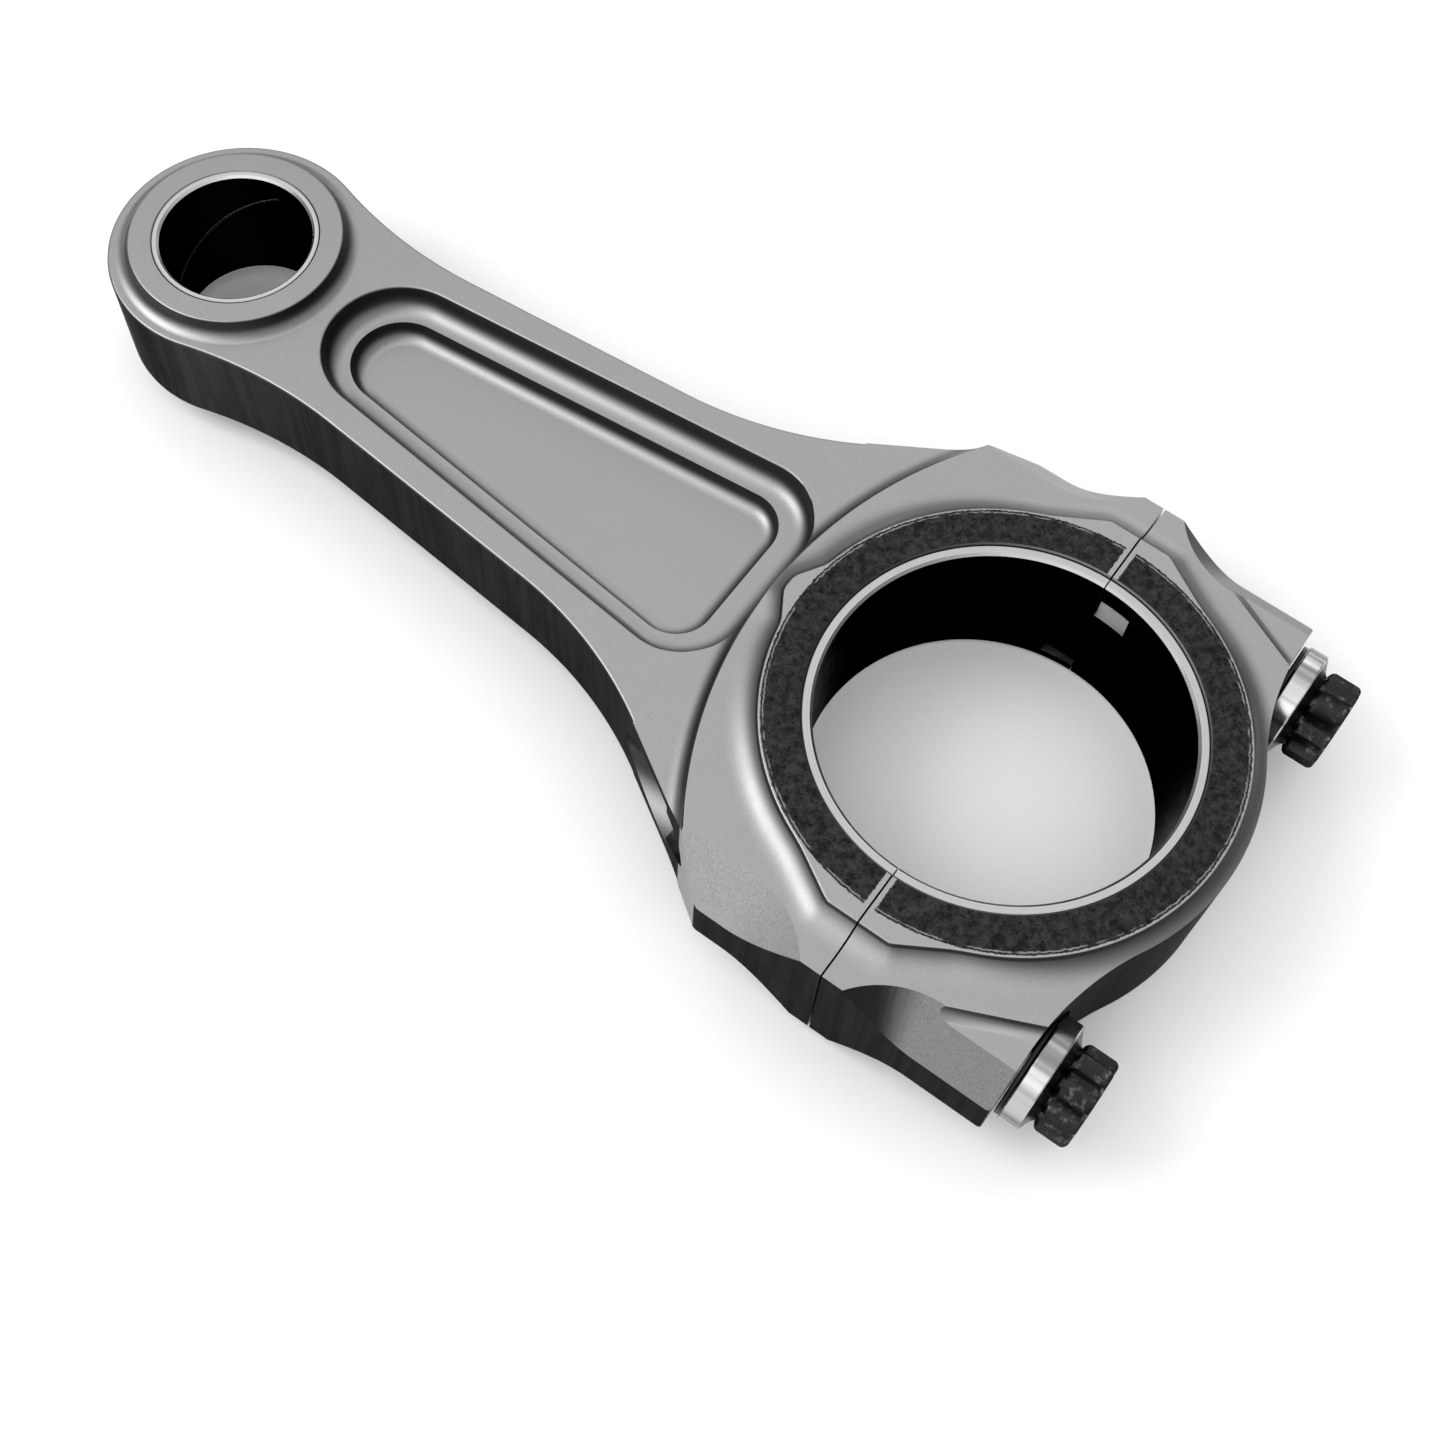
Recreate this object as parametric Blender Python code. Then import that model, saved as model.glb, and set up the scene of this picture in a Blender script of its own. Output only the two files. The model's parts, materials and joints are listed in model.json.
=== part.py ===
"""Titanium connecting rod of a racing engine, lying flat on its side.

X runs along the rod from the small end to the cap, Y runs across it and Z is up.
The origin is the middle of the rod's outline, on the surface that the rod lies on.
Every mesh but the bolts is built round the small-end centre, on the rod's middle plane.
"""
import math

import bmesh
import bpy
from mathutils import Matrix, Vector

# ---------------------------------------------------------------- driving dimensions (metres)
CENTRE_DISTANCE = 0.1100        # small-end centre to big-end centre
FIT_GAP = 0.0003                # left between pieces that touch

BIG_END_WIDTH = 0.0210          # across the two thrust faces
SHOULDER_WIDTH = 0.0172         # across the step that carries the bolts
SMALL_END_WIDTH = 0.0173
SHANK_WIDTH = 0.0134

PIN_BORE_RADIUS = 0.0092
BUSH_WALL = 0.00075
BUSH_CHAMFER = 0.00025
SMALL_BOSS_WALL = 0.0027        # titanium round the bush
SMALL_BOSS_FILLET = 0.0022
SMALL_END_RIM = 0.00055         # flat rim round the small-end boss

CRANKPIN_BORE_RADIUS = 0.0208
SHELL_WALL = 0.0012
SHELL_INSET = 0.00035           # thrust face down to the edge of a shell
SHELL_CHAMFER = 0.0003
THRUST_RING_WALL = 0.0045       # thrust face outside the shells
EAR_RISE = 0.00175              # how far an ear stands out of the thrust ring
SIDE_EAR_HALF_FLAT = 0.0039
AXIS_EAR_HALF_FLAT = 0.0010
EAR_FLANK_ANGLE = math.radians(31.0)
BOSS_FILLET = 0.0050

WAIST_X = 0.0205                # narrowest place of the shank
WAIST_HALF = 0.0127
SHANK_TAPER = math.radians(5.14)
FLARE_ANGLE = math.radians(31.8)
FLARE_RADIUS = 0.0480
SHOULDER_ANGLE = math.radians(40.8)
SHOULDER_RUN = 0.0058           # length along X of the steep end of the flare
SHOULDER_REACH = 0.0157         # outer corner of the shoulder, from the parting line
STEP_RADIUS = 0.0530            # plan radius of the step from shank to shoulder
STEP_CLEARANCE = 0.0017         # step to the ear on the axis
STEP_FILLET = 0.0024

RIB_WIDTH = 0.0036              # shank edge to pocket, at the waist
POCKET_TO_BOSS = 0.0010
POCKET_TAPER = math.radians(5.9)
POCKET_CORNER = 0.0080
POCKET_TO_STEP = 0.0002
LEDGE_Z = 0.0039                # ledge of the pocket, from the middle plane
LEDGE_FILLET = 0.0026
LEDGE_SIDE = 0.0030
LEDGE_TOE = 0.0042
WEB_POCKET_CORNER = 0.0047
WEB_THICKNESS = 0.0036

BOLT_RADIUS = 0.0035
BOLT_NECK_RADIUS = 0.0031
BOLT_WALL = 0.0009              # housing bore to bolt hole
BOLT_LENGTH = 0.0435
BOLT_LAND_LENGTH = 0.0070       # ground land that places the cap, at the parting line
BOLT_TIP_CHAMFER = 0.0008
FLANGE_RADIUS = 0.0065
FLANGE_THICKNESS = 0.0024
FLANGE_EDGE = 0.0002
HEAD_RADIUS = 0.0054
HEAD_FLUTE = 0.0009
HEAD_NECK_RADIUS = 0.0045
HEAD_CONE = 0.0010
HEAD_LENGTH = 0.00385
HEAD_EDGE = 0.0006
DIMPLE_RADIUS = 0.0016
DIMPLE_DEPTH = 0.0008
WASHER_RADIUS = 0.0062
WASHER_THICKNESS = 0.00055
TAP_RELIEF_RADIUS = 0.0052      # open channel past the thread
TAP_RELIEF_REACH = 0.0245       # its end, from the parting line
TAP_RELIEF_LENGTH = 0.0220

LUG_WALL = 0.0078               # bolt centre to the side wall of a shoulder
FACET_WIDTH = 0.0049
FACET_SLOPE = 1.1               # drop of a facet for each unit across it
FACET_END = 0.0026              # where a facet dies out, from the parting line
FACET_STRAIGHT = 0.0120         # where it starts to run parallel to X
SEAT_REACH = 0.0213             # bolt seat, from the parting line
SPOT_FACE_RADIUS = 0.0070
SPOT_FACE_DEPTH = 0.0001
CAP_BACK_WALL = 0.0019          # cap outside the thrust ring
CAP_BACK_BLEND = 0.0330
SEAT_RECESS_DEPTH = 0.0012
SEAT_RECESS_FILLET = 0.0020
SEAT_RECESS_LENGTH = 0.0092     # back from the bolt seat
SEAT_RECESS_REACH = 0.0013      # past the bolt centre, toward the rod's axis

TANG_WIDTH = 0.0040
TANG_LENGTH = 0.0044
TANG_RISE = 0.0006              # outside the shell
TANG_HOLLOW_DEPTH = 0.0008
TANG_HOLLOW_INSET = 0.0003
LOWER_TANG_Z = 0.0055
UPPER_TANG_Z = -0.0070

ROUND_STEPS = 64
BOLT_STEPS = 48
FILLET_STEPS = 4
OVERCUT = 0.0020                # cutters run past the faces they cut
SINK = 0.00002                  # a boss starts this far under the face it stands on

# ---------------------------------------------------------------- derived sizes
BUSH_RADIUS = PIN_BORE_RADIUS + BUSH_WALL
SMALL_BORE_RADIUS = BUSH_RADIUS + FIT_GAP
SMALL_BOSS_RADIUS = SMALL_BORE_RADIUS + SMALL_BOSS_WALL
SMALL_BOSS_FOOT = SMALL_BOSS_RADIUS + SMALL_BOSS_FILLET
SMALL_END_RADIUS = SMALL_BOSS_FOOT + SMALL_END_RIM
POCKET_END_RADIUS = WAIST_HALF - RIB_WIDTH
POCKET_END_X = SMALL_BOSS_FOOT + POCKET_TO_BOSS + POCKET_END_RADIUS
SHELL_RADIUS = CRANKPIN_BORE_RADIUS + SHELL_WALL
SHELL_WIDTH = BIG_END_WIDTH - 2 * SHELL_INSET
HOUSING_RADIUS = SHELL_RADIUS + FIT_GAP
THRUST_RADIUS = HOUSING_RADIUS + THRUST_RING_WALL
EAR_REACH = THRUST_RADIUS + EAR_RISE
BOLT_HOLE_RADIUS = BOLT_RADIUS + FIT_GAP
BOLT_OFFSET = HOUSING_RADIUS + BOLT_WALL + BOLT_HOLE_RADIUS
HALF_SPAN = BOLT_OFFSET + LUG_WALL
FACET_Y = HALF_SPAN - FACET_WIDTH
STEP_X = CENTRE_DISTANCE - EAR_REACH - STEP_CLEARANCE
POCKET_RIGHT_X = STEP_X - POCKET_TO_STEP
SEAT_X = CENTRE_DISTANCE + SEAT_REACH
WASHER_X = SEAT_X - SPOT_FACE_DEPTH + FIT_GAP
BOLT_SEAT_X = WASHER_X + WASHER_THICKNESS + FIT_GAP
HEAD_REACH = FLANGE_THICKNESS + HEAD_CONE + HEAD_LENGTH
ROD_FACE_X = CENTRE_DISTANCE - FIT_GAP / 2
CAP_FACE_X = CENTRE_DISTANCE + FIT_GAP / 2
BIG_TOP = BIG_END_WIDTH / 2
SHOULDER_TOP = SHOULDER_WIDTH / 2
SHANK_TOP = SHANK_WIDTH / 2
CUT_TOP = BIG_TOP + OVERCUT

MID_Z = BIG_TOP
LENGTH = SMALL_END_RADIUS + BOLT_SEAT_X + HEAD_REACH
SMALL_END_X = SMALL_END_RADIUS - LENGTH / 2
ROD_ORIGIN = (SMALL_END_X, 0.0, MID_Z)

EARS = ((math.pi / 2, SIDE_EAR_HALF_FLAT), (math.pi, AXIS_EAR_HALF_FLAT),
        (-math.pi / 2, SIDE_EAR_HALF_FLAT))


# ---------------------------------------------------------------- plan geometry
def arc(centre, radius, start, end, steps):
    """Points of an arc, both ends included."""
    turn = (end - start) / steps
    return [(centre[0] + radius * math.cos(start + turn * i),
             centre[1] + radius * math.sin(start + turn * i)) for i in range(steps + 1)]


def corner_arc(before, corner, after, radius, steps):
    """Points of the arc that rounds the corner between two straight runs."""
    corner = Vector(corner)
    to_before = (Vector(before) - corner).normalized()
    to_after = (Vector(after) - corner).normalized()
    half = to_before.angle(to_after) / 2
    centre = corner + (to_before + to_after).normalized() * (radius / math.sin(half))
    first = corner + to_before * (radius / math.tan(half)) - centre
    last = corner + to_after * (radius / math.tan(half)) - centre
    start = math.atan2(first.y, first.x)
    turn = math.remainder(math.atan2(last.y, last.x) - start, math.tau)
    return arc(centre, radius, start, start + turn, steps)


def both_sides(half):
    """A closed outline from its +Y half, which runs from one end of the rod to the other."""
    return half + [(x, -y) for x, y in reversed(half) if abs(y) > 1e-9]


def rod_half_outline():
    """The rod's +Y edge in plan, from the small end's tip to the parting face."""
    rise = SMALL_END_RADIUS - WAIST_HALF
    waist_radius = (WAIST_X ** 2 + WAIST_HALF ** 2 - SMALL_END_RADIUS ** 2) / (2 * rise)
    waist_centre = (WAIST_X, WAIST_HALF + waist_radius)
    touch = math.atan2(waist_centre[1], waist_centre[0])
    points = arc((0.0, 0.0), SMALL_END_RADIUS, math.pi, touch, 18)
    points += arc(waist_centre, waist_radius, touch - math.pi, SHANK_TAPER - math.pi / 2, 8)[1:]
    taper_start = points[-1]
    outer = (CENTRE_DISTANCE - SHOULDER_REACH, HALF_SPAN)
    knee = (outer[0] - SHOULDER_RUN, outer[1] - SHOULDER_RUN * math.tan(SHOULDER_ANGLE))
    slope_in = math.tan(SHANK_TAPER)
    slope_out = math.tan(FLARE_ANGLE)
    drop = taper_start[1] - slope_in * taper_start[0] - knee[1] + slope_out * knee[0]
    meet_x = drop / (slope_out - slope_in)
    meet = (meet_x, taper_start[1] + slope_in * (meet_x - taper_start[0]))
    points += corner_arc(taper_start, meet, knee, FLARE_RADIUS, 10)
    return points + [knee, outer, (ROD_FACE_X, HALF_SPAN)]


def cap_half_outline():
    """The cap's +Y edge in plan, from the parting face to the middle of its back."""
    back_radius = THRUST_RADIUS + CAP_BACK_WALL
    blend_x = SEAT_REACH + CAP_BACK_BLEND
    blend_y = math.sqrt((back_radius + CAP_BACK_BLEND) ** 2 - blend_x ** 2)
    touch = math.atan2(blend_y, blend_x)
    points = [(CAP_FACE_X, HALF_SPAN), (SEAT_X, HALF_SPAN)]
    points += arc((CENTRE_DISTANCE + blend_x, blend_y), CAP_BACK_BLEND, math.pi, math.pi + touch, 6)
    return points + arc((CENTRE_DISTANCE, 0.0), back_radius, touch, 0.0, 8)[1:]


def ear_limit(angle, facing, half_flat, offset):
    """Reach of an ear at an angle round the big end, or zero away from the ear."""
    turn = abs(math.remainder(angle - facing, math.tau))
    if turn > EAR_FLANK_ANGLE:
        return 0.0
    flank = EAR_REACH * math.cos(EAR_FLANK_ANGLE) + half_flat * math.sin(EAR_FLANK_ANGLE)
    return min((EAR_REACH + offset) / math.cos(turn),
               (flank + offset) / math.cos(turn - EAR_FLANK_ANGLE))


def boss_outline(offset):
    """Outline of the raised big-end face, ears included, grown by an offset."""
    angles = {round(math.tau * i / ROUND_STEPS, 4) for i in range(ROUND_STEPS)}
    for facing, half_flat in EARS:
        corner = math.atan2(half_flat, EAR_REACH)
        angles |= {round((facing + turn) % math.tau, 4) for turn in (corner, -corner)}
    outline = []
    for angle in sorted(angles):
        reach = max([THRUST_RADIUS + offset] + [ear_limit(angle, *ear, offset) for ear in EARS])
        outline.append((CENTRE_DISTANCE + reach * math.cos(angle), reach * math.sin(angle)))
    return outline


def far_outline():
    """Outline well outside the big end, point for point with the boss outline."""
    spread = 1.0 + (HALF_SPAN + OVERCUT) / THRUST_RADIUS
    return [(CENTRE_DISTANCE + (x - CENTRE_DISTANCE) * spread, y * spread)
            for x, y in boss_outline(0.0)]


def left_of_step(offset):
    """Everything on the shank side of the step, with its edge moved toward the shank."""
    radius = STEP_RADIUS + offset
    reach = math.asin((HALF_SPAN + OVERCUT) / radius)
    edge = arc((STEP_X + STEP_RADIUS, 0.0), radius, math.pi + reach, math.pi - reach, 24)
    left_x = -SMALL_END_RADIUS - OVERCUT
    return edge + [(left_x, edge[-1][1]), (left_x, edge[0][1])]


def pocket_outline(end_radius, right_x, corner_radius, inset):
    """Tapered pocket: a round end at the small end and two corners at the big end."""
    normal = math.pi / 2 + POCKET_TAPER
    corner_x = right_x - corner_radius
    rise = end_radius - corner_radius + math.sin(POCKET_TAPER) * (corner_x - POCKET_END_X)
    corner_y = rise / math.cos(POCKET_TAPER)
    corner = corner_radius - inset
    return (arc((corner_x, corner_y), corner, 0.0, normal, 6)
            + arc((POCKET_END_X, 0.0), end_radius - inset, normal, math.tau - normal, 16)
            + arc((corner_x, -corner_y), corner, math.tau - normal, math.tau, 6))


def facet_outline(offset):
    """Region outside a shoulder's facet line, for the +Y shoulder, from the parting line."""
    run = FACET_STRAIGHT - FACET_END
    radius = (run ** 2 + FACET_WIDTH ** 2) / (2 * FACET_WIDTH)
    centre = (-FACET_STRAIGHT, FACET_Y + radius)
    edge = arc(centre, radius - offset, -math.pi / 2, 0.0, 10)
    far_x = -2 * SHOULDER_REACH
    return edge + [(far_x, edge[-1][1]), (far_x, edge[0][1])]


def fillet(radius, height):
    """(offset, rise) pairs of a concave fillet, from its foot to its edge."""
    reach = math.acos(1.0 - height / radius)
    width = radius * math.sin(reach)
    return [(width - radius * math.sin(reach * i / FILLET_STEPS),
             radius * (1.0 - math.cos(reach * i / FILLET_STEPS))) for i in range(FILLET_STEPS + 1)]


# ---------------------------------------------------------------- mesh helpers
def at_height(outline, z):
    return [(x, y, z) for x, y in outline]


def skin(bm, rings, closed=False):
    """Body through rings of equally many points: capped, or closed into a ring."""
    loops = [[bm.verts.new(point) for point in ring] for ring in rings]
    faces = [] if closed else [bm.faces.new(loops[0]), bm.faces.new(loops[-1])]
    following = loops[1:] + loops[:1] if closed else loops[1:]
    for lower, upper in zip(loops, following):
        for i in range(len(lower)):
            faces.append(bm.faces.new((lower[i - 1], lower[i], upper[i], upper[i - 1])))
    bmesh.ops.recalc_face_normals(bm, faces=faces)


def mirrored_copy(bm, axis):
    """Adds the mirror image of everything built so far, across the plane of one axis."""
    result = bmesh.ops.duplicate(bm, geom=bm.verts[:] + bm.edges[:] + bm.faces[:])
    copy = [item for item in result["geom"] if isinstance(item, bmesh.types.BMVert)]
    faces = [item for item in result["geom"] if isinstance(item, bmesh.types.BMFace)]
    for vert in copy:
        vert.co[axis] = -vert.co[axis]
    bmesh.ops.reverse_faces(bm, faces=faces)


def circle(radius, height, steps=ROUND_STEPS, centre=(0.0, 0.0)):
    """A ring of points at one height."""
    return at_height(arc(centre, radius, 0.0, math.tau, steps)[:-1], height)


def along_x(bm, centre):
    """Lays a body turned about Z along X, with its origin at a point."""
    bm.transform(Matrix.Translation(centre) @ Matrix.Rotation(math.pi / 2, 4, "Y"))


def box(bm, low, high):
    """A box between two corners."""
    size = Vector(high) - Vector(low)
    middle = (Vector(high) + Vector(low)) / 2
    matrix = Matrix.Translation(middle) @ Matrix.Diagonal((*size, 1.0))
    bmesh.ops.create_cube(bm, size=1.0, matrix=matrix)


def make_material(name, colour, roughness, metallic):
    material = bpy.data.materials.new(name)
    material.use_nodes = True
    shader = material.node_tree.nodes["Principled BSDF"]
    shader.inputs["Base Color"].default_value = (*colour, 1.0)
    shader.inputs["Roughness"].default_value = roughness
    shader.inputs["Metallic"].default_value = metallic
    return material


def make_object(name, bm, location=ROD_ORIGIN):
    mesh = bpy.data.meshes.new(name)
    bm.to_mesh(mesh)
    bm.free()
    obj = bpy.data.objects.new(name, mesh)
    obj.location = location
    bpy.context.scene.collection.objects.link(obj)
    return obj


def make_piece(name, bm, material, location=ROD_ORIGIN):
    """A piece of the rod: its own material, flat faces flat and round faces smooth."""
    obj = make_object(name, bm, location)
    obj.data.materials.append(material)
    for polygon in obj.data.polygons:
        polygon.use_smooth = True
    obj.data.set_sharp_from_angle(angle=math.radians(30.0))
    return obj


def boolean(target, name, bm, operation="DIFFERENCE"):
    """Cuts or joins a hidden helper body to a piece."""
    helper = make_object(name, bm)
    helper.hide_render = True
    helper.display_type = "WIRE"
    modifier = target.modifiers.new(name, "BOOLEAN")
    modifier.operation = operation
    modifier.solver = "EXACT"
    modifier.object = helper
    return helper


# ---------------------------------------------------------------- features
def shank_clearance():
    """Everything above and below the shank, up to the filleted step."""
    bm = bmesh.new()
    rings = [at_height(left_of_step(offset), SHANK_TOP + rise)
             for offset, rise in fillet(STEP_FILLET, SHOULDER_TOP - SHANK_TOP)]
    rings.append(at_height(left_of_step(0.0), CUT_TOP))
    skin(bm, rings)
    mirrored_copy(bm, 2)
    return bm


def boss_clearance():
    """Everything above and below the shoulders, outside the raised big-end face."""
    bm = bmesh.new()
    rings = [at_height(far_outline(), SHOULDER_TOP)]
    rings += [at_height(boss_outline(offset), SHOULDER_TOP + rise)
              for offset, rise in fillet(BOSS_FILLET, BIG_TOP - SHOULDER_TOP)]
    rings += [at_height(boss_outline(0.0), CUT_TOP), at_height(far_outline(), CUT_TOP)]
    skin(bm, rings, closed=True)
    mirrored_copy(bm, 2)
    return bm


def facets(toward):
    """The sloped facets of both shoulders, on the rod side (1) or the cap side (-1)."""
    bm = bmesh.new()
    rings = []
    for offset in (-OVERCUT / 2, FACET_WIDTH + OVERCUT / 2):
        outline = [(CENTRE_DISTANCE + toward * x, y) for x, y in facet_outline(offset)]
        rings.append(at_height(outline, SHOULDER_TOP - FACET_SLOPE * offset))
    skin(bm, rings)
    mirrored_copy(bm, 1)
    mirrored_copy(bm, 2)
    return bm


def small_boss():
    """Round bosses of the small end, both faces, joined through the rod."""
    bm = bmesh.new()
    half = [(SMALL_BOSS_RADIUS + offset, SHANK_TOP - SINK + rise)
            for offset, rise in fillet(SMALL_BOSS_FILLET, SMALL_END_WIDTH / 2 - SHANK_TOP + SINK)]
    rings = [circle(radius, -z) for radius, z in reversed(half)]
    rings += [circle(radius, z) for radius, z in half]
    skin(bm, rings)
    return bm


def pockets():
    """The stepped pockets that leave the web of the shank."""
    bm = bmesh.new()
    web_top = WEB_THICKNESS / 2
    web_fillet = LEDGE_Z - web_top
    lower = (POCKET_END_RADIUS - LEDGE_SIDE, POCKET_RIGHT_X - LEDGE_TOE, WEB_POCKET_CORNER)
    upper = (POCKET_END_RADIUS, POCKET_RIGHT_X, POCKET_CORNER)
    rings = [at_height(pocket_outline(*lower, inset), web_top + rise)
             for inset, rise in fillet(web_fillet, web_fillet)]
    rings += [at_height(pocket_outline(*upper, inset), LEDGE_Z + rise)
              for inset, rise in fillet(LEDGE_FILLET, LEDGE_FILLET)]
    rings.append(at_height(pocket_outline(*upper, 0.0), CUT_TOP))
    skin(bm, rings)
    mirrored_copy(bm, 2)
    return bm


def cylinder(radius, half_height, centre, steps=ROUND_STEPS):
    """A round cutter along Z."""
    bm = bmesh.new()
    skin(bm, [circle(radius, z, steps, centre) for z in (-half_height, half_height)])
    return bm


def bolt_holes(low, high, radius):
    """Round cutters along both bolt axes, between two places along X."""
    bm = bmesh.new()
    skin(bm, [circle(radius, z, BOLT_STEPS) for z in (0.0, high - low)])
    along_x(bm, (low, BOLT_OFFSET, 0.0))
    mirrored_copy(bm, 1)
    return bm


def seat_recesses():
    """Recesses over the bolt seats, each with a flat floor and one slanting filleted wall."""
    bm = bmesh.new()
    left_x, right_x = SEAT_X - SEAT_RECESS_LENGTH, SEAT_X + OVERCUT
    slant = (BOLT_OFFSET - SEAT_RECESS_REACH - FACET_Y) / SEAT_RECESS_LENGTH
    lean = math.hypot(1.0, slant)
    far_y = HALF_SPAN + OVERCUT
    start_x = left_x - OVERCUT
    rings = []
    floor = SHOULDER_TOP - SEAT_RECESS_DEPTH
    levels = [(offset, floor + rise)
              for offset, rise in fillet(SEAT_RECESS_FILLET, SEAT_RECESS_DEPTH)]
    for offset, z in levels + [(0.0, CUT_TOP)]:
        wall = [(x, FACET_Y + slant * (x - left_x) + offset * lean) for x in (start_x, right_x)]
        rings.append(at_height([*wall, (right_x, far_y), (start_x, far_y)], z))
    skin(bm, rings)
    mirrored_copy(bm, 1)
    mirrored_copy(bm, 2)
    return bm


def tang_block(toward, middle_z, near, grow, inner, outer):
    """Block at the parting line on the +Y side: a tang, or its hollow or notch grown to fit."""
    bm = bmesh.new()
    ends = sorted((CENTRE_DISTANCE + toward * near,
                   CENTRE_DISTANCE + toward * (TANG_LENGTH + grow)))
    half = TANG_WIDTH / 2 + grow
    box(bm, (ends[0], inner, middle_z - half), (ends[1], outer, middle_z + half))
    return bm


def tang_notch(toward, middle_z):
    """Notch in the housing bore that a shell's tang sits in."""
    return tang_block(toward, middle_z, -OVERCUT, FIT_GAP, SHELL_RADIUS - OVERCUT,
                      SHELL_RADIUS + TANG_RISE + FIT_GAP)


# ---------------------------------------------------------------- pieces
def build_rod_body(material):
    bm = bmesh.new()
    outline = both_sides(rod_half_outline())
    skin(bm, [at_height(outline, -BIG_TOP), at_height(outline, BIG_TOP)])
    rod = make_piece("rod_body", bm, material)
    boolean(rod, "cut_shank_clearance", shank_clearance())
    boolean(rod, "cut_rod_boss_clearance", boss_clearance())
    boolean(rod, "cut_rod_facets", facets(1.0))
    boolean(rod, "join_small_boss", small_boss(), "UNION")
    boolean(rod, "cut_pockets", pockets())
    boolean(rod, "cut_small_bore", cylinder(SMALL_BORE_RADIUS, CUT_TOP, (0.0, 0.0)))
    boolean(rod, "cut_rod_housing", cylinder(HOUSING_RADIUS, CUT_TOP, (CENTRE_DISTANCE, 0.0)))
    relief_end = CENTRE_DISTANCE - TAP_RELIEF_REACH
    boolean(rod, "cut_rod_bolt_holes",
            bolt_holes(relief_end - OVERCUT, CENTRE_DISTANCE + OVERCUT, BOLT_HOLE_RADIUS))
    boolean(rod, "cut_tap_reliefs",
            bolt_holes(relief_end - TAP_RELIEF_LENGTH, relief_end, TAP_RELIEF_RADIUS))
    boolean(rod, "cut_rod_tang_notch", tang_notch(-1.0, UPPER_TANG_Z))


def build_big_end_cap(material):
    bm = bmesh.new()
    outline = both_sides(cap_half_outline())
    skin(bm, [at_height(outline, -BIG_TOP), at_height(outline, BIG_TOP)])
    cap = make_piece("big_end_cap", bm, material)
    boolean(cap, "cut_cap_boss_clearance", boss_clearance())
    boolean(cap, "cut_cap_facets", facets(-1.0))
    boolean(cap, "cut_seat_recesses", seat_recesses())
    boolean(cap, "cut_spot_faces", bolt_holes(SEAT_X - SPOT_FACE_DEPTH, BOLT_SEAT_X + HEAD_REACH,
                                              SPOT_FACE_RADIUS))
    boolean(cap, "cut_cap_housing", cylinder(HOUSING_RADIUS, CUT_TOP, (CENTRE_DISTANCE, 0.0)))
    boolean(cap, "cut_cap_bolt_holes",
            bolt_holes(CENTRE_DISTANCE - OVERCUT, SEAT_X + OVERCUT, BOLT_HOLE_RADIUS))
    boolean(cap, "cut_cap_tang_notch", tang_notch(1.0, LOWER_TANG_Z))


def build_shell(name, toward, tang_z, material):
    """Half bearing shell on the rod side (-1) or the cap side (1), with its tang."""
    bm = bmesh.new()
    half = SHELL_WIDTH / 2
    profile = [(CRANKPIN_BORE_RADIUS, -half + SHELL_CHAMFER),
               (CRANKPIN_BORE_RADIUS, half - SHELL_CHAMFER),
               (CRANKPIN_BORE_RADIUS + SHELL_CHAMFER, half), (SHELL_RADIUS, half),
               (SHELL_RADIUS, -half), (CRANKPIN_BORE_RADIUS + SHELL_CHAMFER, -half)]
    skin(bm, [circle(radius, z, ROUND_STEPS, (CENTRE_DISTANCE, 0.0)) for radius, z in profile],
         closed=True)
    geometry = bm.verts[:] + bm.edges[:] + bm.faces[:]
    face_x = CENTRE_DISTANCE + toward * FIT_GAP / 2
    cut = bmesh.ops.bisect_plane(bm, geom=geometry, dist=1e-7, plane_co=(face_x, 0.0, 0.0),
                                 plane_no=(-toward, 0.0, 0.0), clear_outer=True)
    rim = [item for item in cut["geom_cut"] if isinstance(item, bmesh.types.BMEdge)]
    bmesh.ops.edgenet_fill(bm, edges=rim)
    bmesh.ops.recalc_face_normals(bm, faces=bm.faces[:])
    shell = make_piece(name, bm, material)
    tang = tang_block(toward, tang_z, FIT_GAP / 2, 0.0, CRANKPIN_BORE_RADIUS + SHELL_WALL / 2,
                      SHELL_RADIUS + TANG_RISE)
    boolean(shell, "join_tang_" + name, tang, "UNION")
    hollow = tang_block(toward, tang_z, -OVERCUT, -TANG_HOLLOW_INSET,
                        CRANKPIN_BORE_RADIUS - OVERCUT, CRANKPIN_BORE_RADIUS + TANG_HOLLOW_DEPTH)
    boolean(shell, "cut_hollow_" + name, hollow)


def build_small_end_bush(material):
    bm = bmesh.new()
    half = SMALL_END_WIDTH / 2 - FIT_GAP / 2
    profile = [(PIN_BORE_RADIUS, -half + BUSH_CHAMFER), (PIN_BORE_RADIUS, half - BUSH_CHAMFER),
               (PIN_BORE_RADIUS + BUSH_CHAMFER, half), (BUSH_RADIUS, half),
               (BUSH_RADIUS, -half), (PIN_BORE_RADIUS + BUSH_CHAMFER, -half)]
    skin(bm, [circle(radius, z) for radius, z in profile], closed=True)
    make_piece("small_end_bush", bm, material)


def fluted_circle(radius, depth, height):
    """Ring of a twelve-point head: a circle with twelve rounded flutes."""
    ring = []
    for i in range(BOLT_STEPS):
        angle = math.tau * i / BOLT_STEPS
        reach = radius - depth * abs(math.sin(6 * angle))
        ring.append((reach * math.cos(angle), reach * math.sin(angle), height))
    return ring


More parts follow.
